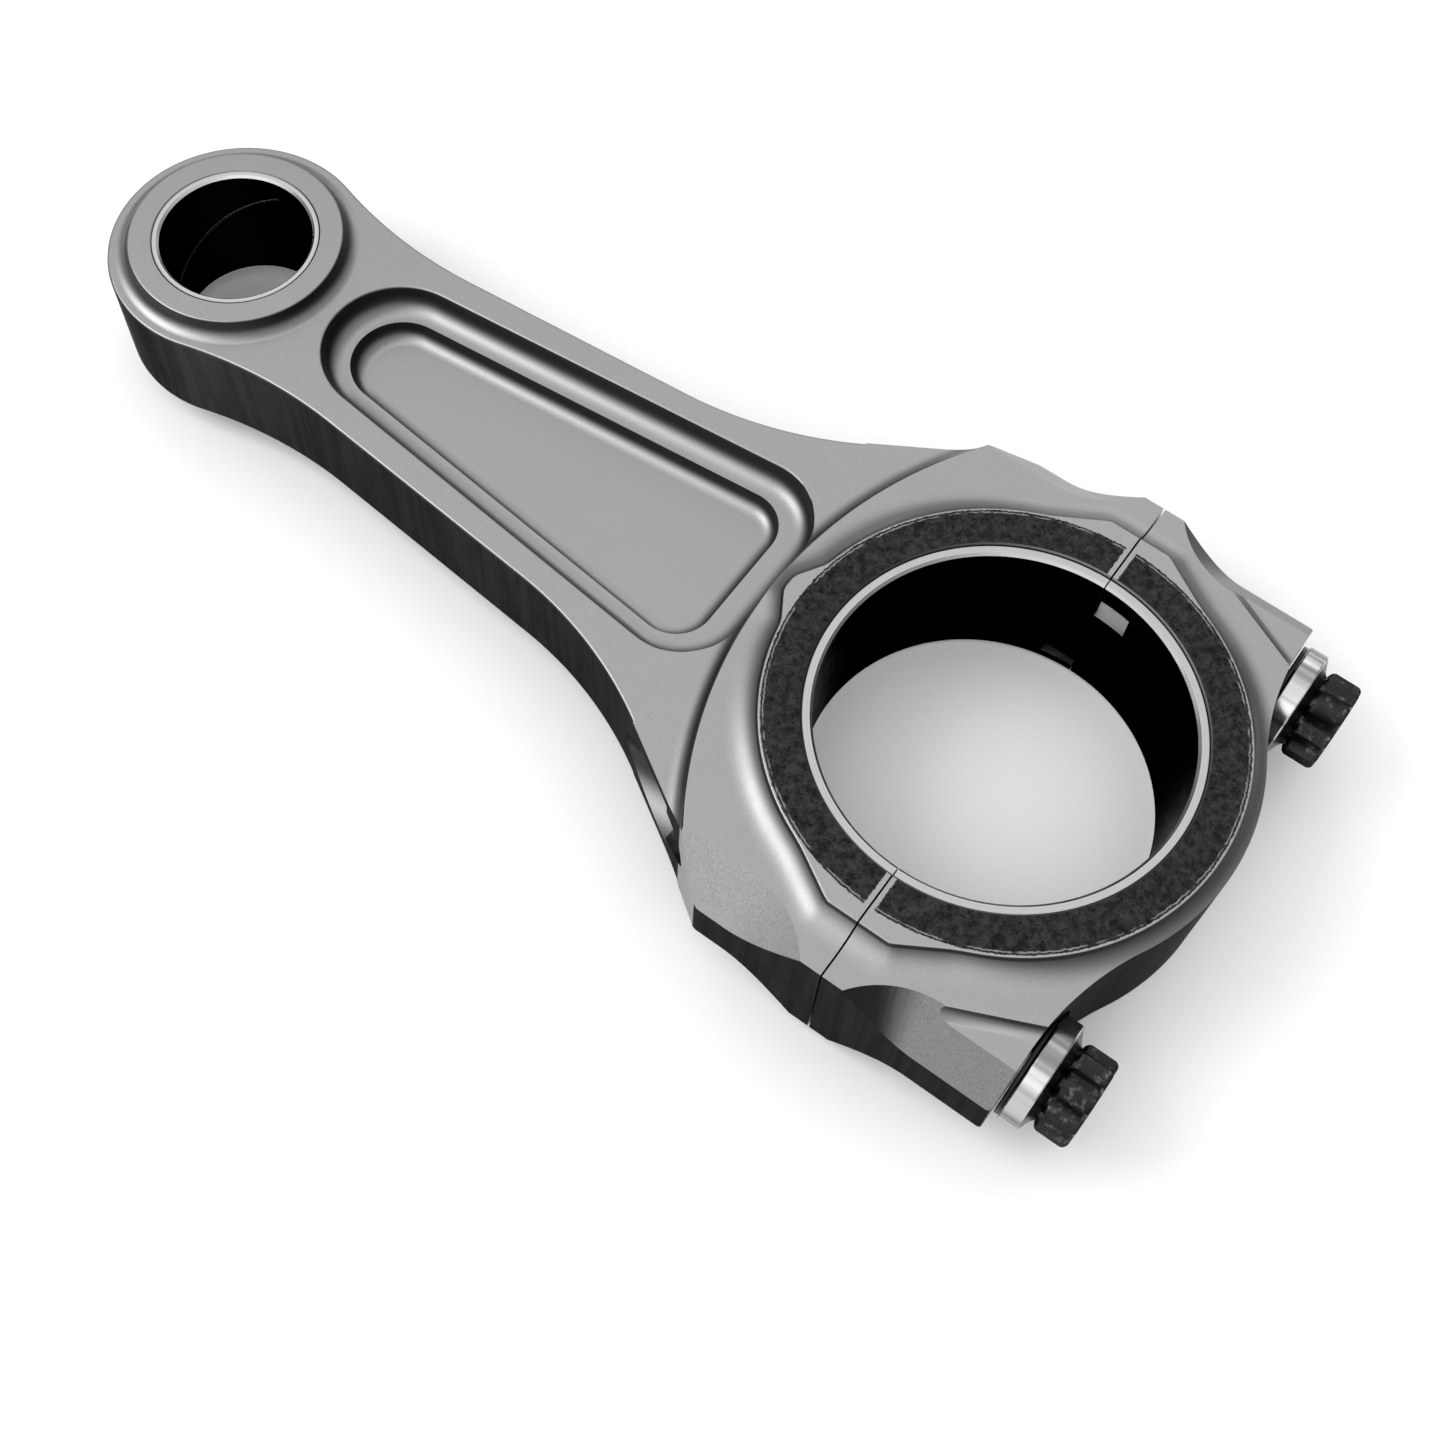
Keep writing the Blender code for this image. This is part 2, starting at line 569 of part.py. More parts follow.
def build_bolt(name, side, material):
    """Cap bolt; its origin is on its axis, under its flange, and its head points to +X."""
    bm = bmesh.new()
    parting = CENTRE_DISTANCE - BOLT_SEAT_X
    land_low = parting - BOLT_LAND_LENGTH / 2
    land_high = parting + BOLT_LAND_LENGTH / 2
    ease = BOLT_RADIUS - BOLT_NECK_RADIUS
    profile = [(BOLT_RADIUS - BOLT_TIP_CHAMFER, -BOLT_LENGTH),
               (BOLT_RADIUS, -BOLT_LENGTH + BOLT_TIP_CHAMFER),
               (BOLT_RADIUS, land_low - 3 * ease), (BOLT_NECK_RADIUS, land_low - 2 * ease),
               (BOLT_NECK_RADIUS, land_low - ease), (BOLT_RADIUS, land_low),
               (BOLT_RADIUS, land_high), (BOLT_NECK_RADIUS, land_high + ease),
               (BOLT_NECK_RADIUS, -ease), (BOLT_RADIUS, 0.0),
               (FLANGE_RADIUS - FLANGE_EDGE, 0.0), (FLANGE_RADIUS, FLANGE_EDGE),
               (FLANGE_RADIUS, FLANGE_THICKNESS - FLANGE_EDGE),
               (FLANGE_RADIUS - FLANGE_EDGE, FLANGE_THICKNESS)]
    rings = [circle(radius, height, BOLT_STEPS) for radius, height in profile]
    rings.append(fluted_circle(HEAD_NECK_RADIUS, 0.0, FLANGE_THICKNESS + HEAD_CONE / 2))
    head_base = FLANGE_THICKNESS + HEAD_CONE
    head_top = head_base + HEAD_LENGTH
    rings.append(fluted_circle(HEAD_RADIUS, HEAD_FLUTE, head_base))
    rings.append(fluted_circle(HEAD_RADIUS, HEAD_FLUTE, head_top - HEAD_EDGE))
    rings.append(fluted_circle(HEAD_RADIUS - HEAD_EDGE, HEAD_FLUTE / 2, head_top))
    rings.append(circle(DIMPLE_RADIUS, head_top, BOLT_STEPS))
    rings.append(circle(DIMPLE_RADIUS / 2, head_top - DIMPLE_DEPTH, BOLT_STEPS))
    skin(bm, rings)
    along_x(bm, (0.0, 0.0, 0.0))
    make_piece(name, bm, material, (SMALL_END_X + BOLT_SEAT_X, side * BOLT_OFFSET, MID_Z))


def build_washer(name, side, material):
    """Thin washer under a bolt flange; its origin is on the bolt axis, on its lower face."""
    bm = bmesh.new()
    profile = [(BOLT_HOLE_RADIUS, 0.0), (BOLT_HOLE_RADIUS, WASHER_THICKNESS),
               (WASHER_RADIUS, WASHER_THICKNESS), (WASHER_RADIUS, 0.0)]
    skin(bm, [circle(radius, height, BOLT_STEPS) for radius, height in profile], closed=True)
    along_x(bm, (0.0, 0.0, 0.0))
    make_piece(name, bm, material, (SMALL_END_X + WASHER_X, side * BOLT_OFFSET, MID_Z))


def build():
    for obj in list(bpy.data.objects):
        bpy.data.objects.remove(obj)
    titanium = make_material("satin_titanium", (0.36, 0.35, 0.33), 0.42, 1.0)
    cap_titanium = make_material("satin_titanium_cap", (0.36, 0.35, 0.33), 0.45, 1.0)
    shell_metal = make_material("shell_overlay", (0.30, 0.30, 0.31), 0.38, 1.0)
    bronze = make_material("bush_bronze", (0.45, 0.34, 0.22), 0.35, 1.0)
    bolt_steel = make_material("bolt_steel", (0.22, 0.22, 0.23), 0.30, 1.0)
    washer_steel = make_material("washer_steel", (0.06, 0.06, 0.07), 0.45, 1.0)
    build_rod_body(titanium)
    build_big_end_cap(cap_titanium)
    build_shell("upper_bearing_shell", -1.0, UPPER_TANG_Z, shell_metal)
    build_shell("lower_bearing_shell", 1.0, LOWER_TANG_Z, shell_metal)
    build_small_end_bush(bronze)
    for side_name, side in (("left", 1.0), ("right", -1.0)):
        build_bolt("cap_bolt_" + side_name, side, bolt_steel)
        build_washer("bolt_washer_" + side_name, side, washer_steel)


build()
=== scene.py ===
"""Looks of a racing engine's connecting rod that lies on its side.

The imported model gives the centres, the bolt axes and the widths. Every visible piece is built
round the small-end centre, on the rod's middle plane, and is then moved to its place in the row.
"""

import json
import logging
import math
from collections.abc import Iterable, Sequence
from dataclasses import dataclass
from enum import Enum

import bmesh
import bpy
from mathutils import Matrix, Vector

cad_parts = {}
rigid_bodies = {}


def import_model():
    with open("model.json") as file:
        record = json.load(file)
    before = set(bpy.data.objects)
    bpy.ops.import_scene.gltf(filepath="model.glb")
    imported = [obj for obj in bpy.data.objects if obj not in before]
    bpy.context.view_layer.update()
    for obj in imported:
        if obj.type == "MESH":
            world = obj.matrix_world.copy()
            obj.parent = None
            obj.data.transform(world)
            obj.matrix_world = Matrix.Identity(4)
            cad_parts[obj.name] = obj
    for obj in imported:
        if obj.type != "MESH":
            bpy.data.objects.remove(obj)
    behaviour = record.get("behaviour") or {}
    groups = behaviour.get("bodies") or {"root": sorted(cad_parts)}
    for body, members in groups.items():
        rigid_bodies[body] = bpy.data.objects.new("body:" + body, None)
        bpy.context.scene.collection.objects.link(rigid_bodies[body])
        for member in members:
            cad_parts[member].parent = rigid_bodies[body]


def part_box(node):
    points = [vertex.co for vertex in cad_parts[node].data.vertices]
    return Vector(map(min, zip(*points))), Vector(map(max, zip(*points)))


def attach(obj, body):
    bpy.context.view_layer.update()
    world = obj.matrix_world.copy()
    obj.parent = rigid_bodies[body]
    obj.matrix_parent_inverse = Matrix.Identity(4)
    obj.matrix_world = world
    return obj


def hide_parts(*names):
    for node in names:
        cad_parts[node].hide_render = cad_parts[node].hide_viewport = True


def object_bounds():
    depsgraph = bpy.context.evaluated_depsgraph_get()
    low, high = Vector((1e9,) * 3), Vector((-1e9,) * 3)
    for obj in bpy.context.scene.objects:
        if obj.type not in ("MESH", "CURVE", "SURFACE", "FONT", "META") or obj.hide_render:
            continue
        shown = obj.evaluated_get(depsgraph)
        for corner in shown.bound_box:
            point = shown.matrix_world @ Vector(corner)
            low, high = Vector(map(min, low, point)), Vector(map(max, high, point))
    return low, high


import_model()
CAD_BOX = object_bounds()
LOG = logging.getLogger("connecting_rod")

Point = tuple[float, float]
Point3 = tuple[float, float, float]

ALONG_X: Point3 = (1.0, 0.0, 0.0)
ALONG_Z: Point3 = (0.0, 0.0, 1.0)

# How far a helper body reaches past the blank that it cuts, and the angle of a sharp edge.
OVERCUT = 0.002
SHARP_ANGLE = math.radians(32.0)

# Distances under which points count as one, edges as slivers and a point as on the rod's axis.
MERGED = 2e-6
SLIVER = 1e-6
ON_AXIS = 1e-9

# Upright part of a normal: a steep wall is under STEEP, a level face over LEVEL.
STEEP = 0.35
SLANTED = 0.5
LEVEL = 0.9

# Slack when a face is told apart by its height, by a wall or bore, and by a bolt hole.
NEAR_FACE = 0.00004
NEAR_WALL = 0.00008
NEAR_HOLE = 0.0001

# How far an added body sinks into its base, and a wall stops short of a rounded edge.
SINK = 0.00002
HAIR = 0.00001


# ---------------------------------------------------------------- plan geometry
def arc(centre: Point, radius: float, start: float, end: float, steps: int) -> list[Point]:
    """Divides an arc into even steps.

    Args:
        centre: Centre of the arc.
        radius: Its radius.
        start: Angle of the first point, in radians.
        end: Angle of the last point, in radians.
        steps: Number of steps between them.

    Returns:
        The points of the arc, both ends included.
    """
    turn = (end - start) / steps
    return [(centre[0] + radius * math.cos(start + turn * i),
             centre[1] + radius * math.sin(start + turn * i)) for i in range(steps + 1)]


def rounded_corner(before: Point, corner: Point, after: Point, radius: float,
                   steps: int) -> list[Point]:
    """Rounds the corner between two straight runs.

    Args:
        before: A point on the run that comes in.
        corner: Where the two runs meet.
        after: A point on the run that goes out.
        radius: Radius of the rounding.
        steps: Number of steps along it.

    Returns:
        The points of the rounding, both ends included.
    """
    apex = Vector(corner)
    inward = (Vector(before) - apex).normalized()
    outward = (Vector(after) - apex).normalized()
    half = inward.angle(outward) / 2
    centre = apex + (inward + outward).normalized() * (radius / math.sin(half))
    first = apex + inward * (radius / math.tan(half)) - centre
    last = apex + outward * (radius / math.tan(half)) - centre
    start = math.atan2(first.y, first.x)
    turn = math.remainder(math.atan2(last.y, last.x) - start, math.tau)
    return arc(tuple(centre), radius, start, start + turn, steps)


def both_sides(half: list[Point]) -> list[Point]:
    """Closes a +Y half outline with its mirror image.

    Args:
        half: Points from one end of the rod to the other, on the +Y side.

    Returns:
        The whole outline.
    """
    return half + [(x, -y) for x, y in reversed(half) if abs(y) > ON_AXIS]


def concave(radius: float, height: float, steps: int) -> list[Point]:
    """Profile of a fillet at the foot of a wall.

    Args:
        radius: Radius of the fillet.
        height: Height at which the wall above takes over.
        steps: Number of steps along it.

    Returns:
        (distance out of the wall, rise) pairs, from the foot up.
    """
    reach = math.acos(max(0.0, 1.0 - height / radius))
    width = radius * math.sin(reach)
    return [(width - radius * math.sin(reach * i / steps),
             radius * (1.0 - math.cos(reach * i / steps))) for i in range(steps + 1)]


def edge_round(size: float, steps: int = 3) -> list[Point]:
    """Profile of the broken edge at the top of a wall.

    Args:
        size: How far the rounding reaches down the wall and along the face.
        steps: Number of steps along it.

    Returns:
        (distance into the solid, height under the face) pairs, from the wall to the face.
    """
    return [(size * (1.0 - math.cos(math.pi / 2 * i / steps)),
             size * (1.0 - math.sin(math.pi / 2 * i / steps))) for i in range(steps + 1)]


def rounded_rim(radius: float, low: float, high: float, edge: float) -> list[Point]:
    """Profile of a round rim with both edges broken.

    Args:
        radius: Radius of the rim.
        low: Level of its lower face.
        high: Level of its upper face.
        edge: Size of the broken edges.

    Returns:
        (radius, level) points from the lower face to the upper one.
    """
    rim = [(radius - inset, low + drop) for inset, drop in reversed(edge_round(edge))]
    return rim + [(radius - inset, high - drop) for inset, drop in edge_round(edge)]


def with_lower_half(upper: list[Point]) -> list[Point]:
    """Closes a turned profile with its mirror image below; its first point lies halfway up."""
    return upper + [(radius, -z) for radius, z in reversed(upper[1:])]


def at_height(outline: Iterable[Point], z: float) -> list[Point3]:
    """Lifts a plan outline to a height."""
    return [(x, y, z) for x, y in outline]


# ---------------------------------------------------------------- solids
def loft(rings: Sequence[Sequence[Point3]], endless: bool = False) -> bmesh.types.BMesh:
    """Bridges rings of equally many points into a closed body.

    Args:
        rings: The rings, in order.
        endless: True if the last ring is bridged back to the first, which leaves a hole.

    Returns:
        A new mesh that holds the body.
    """
    bm = bmesh.new()
    loops = []
    for ring in rings:
        verts = [bm.verts.new(point) for point in ring]
        loops.append([bm.edges.new(pair) for pair in zip(verts, verts[1:] + verts[:1])])
    following = loops[1:] + loops[:1] if endless else loops[1:]
    for lower, upper in zip(loops, following):
        bmesh.ops.bridge_loops(bm, edges=lower + upper)
    if not endless:
        for loop in (loops[0], loops[-1]):
            bmesh.ops.edgeloop_fill(bm, edges=loop)
    bmesh.ops.recalc_face_normals(bm, faces=bm.faces[:])
    return bm


def turned(profile: Sequence[Point], steps: int, along_x: bool = False) -> bmesh.types.BMesh:
    """Spins a closed profile round the Z axis, or round X when asked.

    Args:
        profile: (radius, height) points of the closed profile.
        steps: Number of steps round the axis.
        along_x: True to lay the turned body along X, heights toward +X.

    Returns:
        A new mesh that holds the body.
    """
    bm = bmesh.new()
    verts = [bm.verts.new((radius, 0.0, height)) for radius, height in profile]
    edges = [bm.edges.new(pair) for pair in zip(verts, verts[1:] + verts[:1])]
    bmesh.ops.spin(bm, geom=verts + edges, cent=(0, 0, 0), axis=(0, 0, 1), dvec=(0, 0, 0),
                   angle=math.tau, steps=steps, use_merge=True, use_duplicate=False)
    bmesh.ops.remove_doubles(bm, verts=bm.verts[:], dist=1e-7)
    degenerate = [edge for edge in bm.edges if not edge.link_faces]
    bmesh.ops.delete(bm, geom=degenerate, context="EDGES")
    bmesh.ops.recalc_face_normals(bm, faces=bm.faces[:])
    if along_x:
        bmesh.ops.rotate(bm, verts=bm.verts[:], cent=(0, 0, 0),
                         matrix=Matrix.Rotation(math.pi / 2, 3, "Y"))
    return bm


def cylinder(radius: float, low: float, high: float, steps: int,
             along_x: bool = False) -> bmesh.types.BMesh:
    """A plain round body about Z or X, between two heights."""
    return turned([(0.0, low), (radius, low), (radius, high), (0.0, high)], steps, along_x)


def shifted(bm: bmesh.types.BMesh, offset: Point3) -> bmesh.types.BMesh:
    """Moves a body and gives it back."""
    bmesh.ops.translate(bm, verts=bm.verts[:], vec=offset)
    return bm


def with_mirror(bm: bmesh.types.BMesh, *axes: int) -> bmesh.types.BMesh:
    """Adds the mirror images of a body across the planes of some axes.

    Args:
        bm: The body.
        axes: 0, 1 or 2 for the planes x = 0, y = 0 or z = 0, one after another.

    Returns:
        The same mesh with its copies.
    """
    for axis in axes:
        result = bmesh.ops.duplicate(bm, geom=bm.verts[:] + bm.edges[:] + bm.faces[:])
        verts = [item for item in result["geom"] if isinstance(item, bmesh.types.BMVert)]
        faces = [item for item in result["geom"] if isinstance(item, bmesh.types.BMFace)]
        flip = Vector((1.0, 1.0, 1.0))
        flip[axis] = -1.0
        bmesh.ops.scale(bm, verts=verts, vec=flip)
        bmesh.ops.reverse_faces(bm, faces=faces)
    return bm


class Cut(Enum):
    """How a helper body changes a blank."""

    TAKE_AWAY = "DIFFERENCE"
    ADD = "UNION"
    KEEP_COMMON = "INTERSECT"


class Blank:
    """A piece in the making, and the bodies that shape it."""

    def __init__(self, name: str, bm: bmesh.types.BMesh) -> None:
        """Starts a piece from its first body.

        Args:
            name: Name of the finished object.
            bm: The first body; it is used up.
        """
        self.name = name
        self.helpers: list[bpy.types.Object] = []
        self.object = self._object(name, bm)

    @staticmethod
    def _object(name: str, bm: bmesh.types.BMesh) -> bpy.types.Object:
        """Turns a bmesh into a linked object."""
        mesh = bpy.data.meshes.new(name)
        bm.to_mesh(mesh)
        bm.free()
        obj = bpy.data.objects.new(name, mesh)
        bpy.context.scene.collection.objects.link(obj)
        return obj

    def shape(self, bm: bmesh.types.BMesh, cut: Cut = Cut.TAKE_AWAY) -> None:
        """Adds one shaping step.

        Args:
            bm: The helper body; it is used up.
            cut: What the helper does to the blank.
        """
        helper = self._object(f"{self.name}_helper", bm)
        self.helpers.append(helper)
        modifier = self.object.modifiers.new(helper.name, "BOOLEAN")
        modifier.operation = cut.value
        modifier.solver = "EXACT"
        modifier.object = helper

    def carved(self) -> bpy.types.Mesh:
        """Applies the shaping steps.

        Returns:
            The carved mesh, with its stray points merged.
        """
        graph = bpy.context.evaluated_depsgraph_get()
        mesh = bpy.data.meshes.new_from_object(self.object.evaluated_get(graph))
        self.object.modifiers.clear()
        for helper in self.helpers:
            bpy.data.objects.remove(helper)
        self.helpers.clear()
        bm = bmesh.new()
        bm.from_mesh(mesh)
        bmesh.ops.remove_doubles(bm, verts=bm.verts[:], dist=MERGED)
        bmesh.ops.dissolve_degenerate(bm, edges=bm.edges[:], dist=SLIVER)
        bm.to_mesh(mesh)
        bm.free()
        self.object.data = mesh
        mesh.name = self.name
        return mesh


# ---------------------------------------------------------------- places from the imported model
@dataclass(frozen=True)
class Places:
    """Centres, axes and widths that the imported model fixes, measured from the small-end centre."""

    home: Vector
    big_end_x: float
    seat_x: float
    bolt_seat_x: float
    bolt_offset: float
    bolt_tip_x: float
    head_end_x: float
    half_span: float
    big_top: float
    small_bore: float
    shell_radius: float
    washer_radius: float
    washer_thickness: float

    @classmethod
    def from_packed(cls) -> "Places":
        """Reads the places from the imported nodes.

        Returns:
            The places, with `home` in the row's frame and the rest relative to it.
        """
        bush_low, bush_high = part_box("small_end_bush")
        _, rod_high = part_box("rod_body")
        cap_low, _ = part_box("big_end_cap")
        _, shell_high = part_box("lower_bearing_shell")
        shell_low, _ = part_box("upper_bearing_shell")
        bolt_low, bolt_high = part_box("cap_bolt_left")
        washer_low, washer_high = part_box("bolt_washer_left")
        home = (bush_low + bush_high) / 2
        home.y = 0.0
        return cls(
            home=home,
            big_end_x=(rod_high.x + cap_low.x) / 2 - home.x,
            seat_x=washer_low.x - home.x,
            bolt_seat_x=washer_high.x - home.x,
            bolt_offset=(bolt_low.y + bolt_high.y) / 2,
            bolt_tip_x=bolt_low.x - home.x,
            head_end_x=bolt_high.x - home.x,
            half_span=rod_high.y,
            big_top=rod_high.z - home.z,
            small_bore=(bush_high.x - bush_low.x) / 2,
            shell_radius=(shell_high.x - shell_low.x) / 2,
            washer_radius=(washer_high.z - washer_low.z) / 2,
            washer_thickness=washer_high.x - washer_low.x,
        )


@dataclass(frozen=True)
class BigEndPlan:
    """Plan of the big end, which the rod and its cap share."""

    places: Places
    shoulder_top: float = 0.0086
    shank_top: float = 0.0067
    bore_gap: float = 0.00004
    boss_wall: float = 0.0048
    ear_rise: float = 0.00175
    side_ear_half_flat: float = 0.0039
    axis_ear_half_flat: float = 0.0010
    flank_angle: float = math.radians(31.0)
    ear_blend: float = 0.0003
    ear_blend_rise: float = 0.00006
    boss_fillet: float = 0.0050
    facet_width: float = 0.0049
    facet_slope: float = 1.1
    facet_end: float = 0.0026
    facet_straight: float = 0.0120
    facet_far_x: float = -0.032
    edge: float = 0.00028
    bolt_hole: float = 0.0037
    parting_gap: float = 0.00022
    notch_play: float = 0.00012
    steps: int = 144

    @property
    def housing(self) -> float:
        """Radius of the bore that holds the shells."""
        return self.places.shell_radius + self.bore_gap

    @property
    def boss_radius(self) -> float:
        """Radius of the raised thrust face."""
        return self.places.shell_radius + self.boss_wall

    @property
    def facet_y(self) -> float:
        """Inner edge of the straight part of a facet."""
        return self.places.half_span - self.facet_width

    @property
    def facet_curve(self) -> float:
        """Radius of the curved end of a facet's inner edge."""
        run = self.facet_straight - self.facet_end
        return (run ** 2 + self.facet_width ** 2) / (2 * self.facet_width)

    def ears(self) -> tuple[tuple[float, float], ...]:
        """Direction and half flat of each ear of the thrust face."""
        return ((math.pi / 2, self.side_ear_half_flat), (math.pi, self.axis_ear_half_flat),
                (-math.pi / 2, self.side_ear_half_flat))

    def ear_limit(self, angle: float, facing: float, half_flat: float, offset: float) -> float:
        """Finds how far an ear reaches.

        Args:
            angle: Direction from the big-end centre.
            facing: Direction of the ear.
            half_flat: Half the length of its flat.
            offset: How much the ear is grown.

        Returns:
            The reach, or zero away from the ear.
        """
        turn = abs(math.remainder(angle - facing, math.tau))
        if turn > self.flank_angle:
            return 0.0
        reach = self.boss_radius + self.ear_rise
        flank = reach * math.cos(self.flank_angle) + half_flat * math.sin(self.flank_angle)
        return min((reach + offset) / math.cos(turn),
                   (flank + offset) / math.cos(turn - self.flank_angle))

    def boss_outline(self, offset: float) -> list[Point]:
        """Outlines the raised thrust face with its ears.

        Args:
            offset: How much the outline is grown.

        Returns:
            The outline, with softly blended ear corners.
        """
        outline = []
        for i in range(2 * self.steps):
            angle = math.pi * i / self.steps
            reaches = [self.boss_radius + offset]
            reaches += [self.ear_limit(angle, *ear, offset) for ear in self.ears()]
            reach = max(reaches)
            second = sorted(reaches)[-2]
            blend = max(0.0, 1.0 - (reach - second) / self.ear_blend)
            reach += self.ear_blend_rise * blend * blend
            outline.append((self.places.big_end_x + reach * math.cos(angle),
                            reach * math.sin(angle)))
        return outline

    def beyond(self) -> list[Point]:
        """An outline well outside the big end, point for point with the boss outline."""
        centre = self.places.big_end_x
        spread = 1.0 + (self.places.half_span + OVERCUT) / self.boss_radius
        return [(centre + (x - centre) * spread, y * spread) for x, y in self.boss_outline(0.0)]

    def boss_clearance(self) -> bmesh.types.BMesh:
        """Everything above and below the shoulders outside the filleted, edge-broken boss."""
        top = self.places.big_top
        rings = [at_height(self.beyond(), self.shoulder_top)]
        rings += [at_height(self.boss_outline(offset), self.shoulder_top + rise) for offset, rise
                  in concave(self.boss_fillet, top - self.edge - self.shoulder_top, 14)]
        rings += [at_height(self.boss_outline(-inset), top - drop)
                  for inset, drop in edge_round(self.edge)[1:]]
        rings += [at_height(self.boss_outline(-self.edge), top + OVERCUT),
                  at_height(self.beyond(), top + OVERCUT)]
        return with_mirror(loft(rings, endless=True), 2)

    def facet_edge(self, offset: float) -> list[Point]:
        """Region outside a facet's inner edge, measured from the parting line, +Y side.

        Args:
            offset: How far the edge is moved outward.

        Returns:
            The outline of the region.
        """
        centre = (-self.facet_straight, self.facet_y + self.facet_curve)
        edge = arc(centre, self.facet_curve - offset, -math.pi / 2, 0.0, 24)
        return edge + [(self.facet_far_x, edge[-1][1]), (self.facet_far_x, edge[0][1])]

    def facet_height(self, centre: Vector) -> float:
        """Height of the facet over or under a face, to tell the peened faces from the others.

        Args:
            centre: Centre of the face.

        Returns:
            The height from the middle plane.
        """
        along = self.facet_straight - abs(centre.x - self.places.big_end_x)
        offset = abs(centre.y) - self.facet_y
        if along > 0.0:
            offset = self.facet_curve - math.hypot(along, self.facet_curve - offset)
        return self.shoulder_top - self.facet_slope * offset

    def facets(self, toward: float) -> bmesh.types.BMesh:
        """Sloped facets of both shoulders.

        Args:
            toward: 1 for the rod side and -1 for the cap side.

        Returns:
            The body to take away.
        """
        rings = []
        for offset in (-OVERCUT / 2, self.facet_width + OVERCUT / 2):
            outline = [(self.places.big_end_x + toward * x, y) for x, y in self.facet_edge(offset)]
            rings.append(at_height(outline, self.shoulder_top - self.facet_slope * offset))
        return with_mirror(loft(rings), 1, 2)

    def housing_bore(self) -> bmesh.types.BMesh:
        """The bore for the shells, with its broken edges."""
        return self.bored(self.housing, self.places.big_top, self.places.big_end_x, 192)

    def bored(self, radius: float, top: float, centre_x: float, steps: int) -> bmesh.types.BMesh:
        """A bore along Z with a chamfer at both faces.

        Args:
            radius: Radius of the bore.
            top: Height of the faces that it comes out of, from the middle plane.
            centre_x: Place of its centre.
            steps: Number of steps round it.

        Returns:
            The body to take away.
        """
        chamfer = 0.6 * self.edge
        flare = radius + chamfer + OVERCUT
        profile = [(0.0, -top - OVERCUT), (flare, -top - OVERCUT), (radius, -top + chamfer),
                   (radius, top - chamfer), (flare, top + OVERCUT), (0.0, top + OVERCUT)]
        return shifted(turned(profile, steps), (centre_x, 0.0, 0.0))

    def along_bolts(self, low: float, high: float, radius: float) -> bmesh.types.BMesh:
        """Round bodies on both bolt axes.

        Args:
            low: Where they start along X.
            high: Where they end.
            radius: Their radius.

        Returns:
            Both bodies in one mesh.
        """
        body = cylinder(radius, low, high, 64, along_x=True)
        return with_mirror(shifted(body, (0.0, self.places.bolt_offset, 0.0)), 1)

    def tang_notch(self, toward: float, tang: "Tang") -> bmesh.types.BMesh:
        """Notch for a shell's tang."""
        outer = self.places.shell_radius + tang.rise + self.notch_play
        return tang.block(self.places, toward, -OVERCUT, self.notch_play,
                          self.places.shell_radius - OVERCUT, outer)


@dataclass(frozen=True)
class Tang:
    """Pressed-out tang that stops a shell from turning."""

    middle_z: float
    width: float = 0.0040
    length: float = 0.0044
    rise: float = 0.0006
    hollow_depth: float = 0.0008
    hollow_inset: float = 0.0003

    def block(self, places: Places, toward: float, near: float, grow: float, inner: float,
              outer: float) -> bmesh.types.BMesh:
        """Builds a block at the parting line on the +Y side.

        Args:
            places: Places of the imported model.
            toward: -1 for the rod side and 1 for the cap side.
            near: Where it starts, past the parting line.
            grow: How much larger than the tang it is.
            inner: Nearest Y.
            outer: Farthest Y.

        Returns:
            The block.
        """
        bm = bmesh.new()
        middle = places.big_end_x + toward * (near + self.length + grow) / 2
        size = Vector((self.length + grow - near, outer - inner, self.width + 2 * grow))
        centre = Vector((middle, (inner + outer) / 2, self.middle_z))
        matrix = Matrix.Translation(centre) @ Matrix.Diagonal((*size, 1.0))
        bmesh.ops.create_cube(bm, size=1.0, matrix=matrix)
        return bm


ROD_TANG = Tang(middle_z=-0.0070)
CAP_TANG = Tang(middle_z=0.0055)


# ---------------------------------------------------------------- finishes
class Surface(Enum):
    """Finishes of one piece, in the order of its material slots."""

    BEADED = 0
    # Steep side walls; their dark finish is painted shade.
    FLANK = 1
    FACET = 2
    THRUST = 3
    # Walls of bores and bolt holes; their darker finish is painted shade.
    BORE = 4


@dataclass(frozen=True)
class Grain:
    """A noise pattern, in cells for each metre, and the stretch of its values that shows."""

    scale: float
    detail: float
    roughness: float
    low: float
    high: float


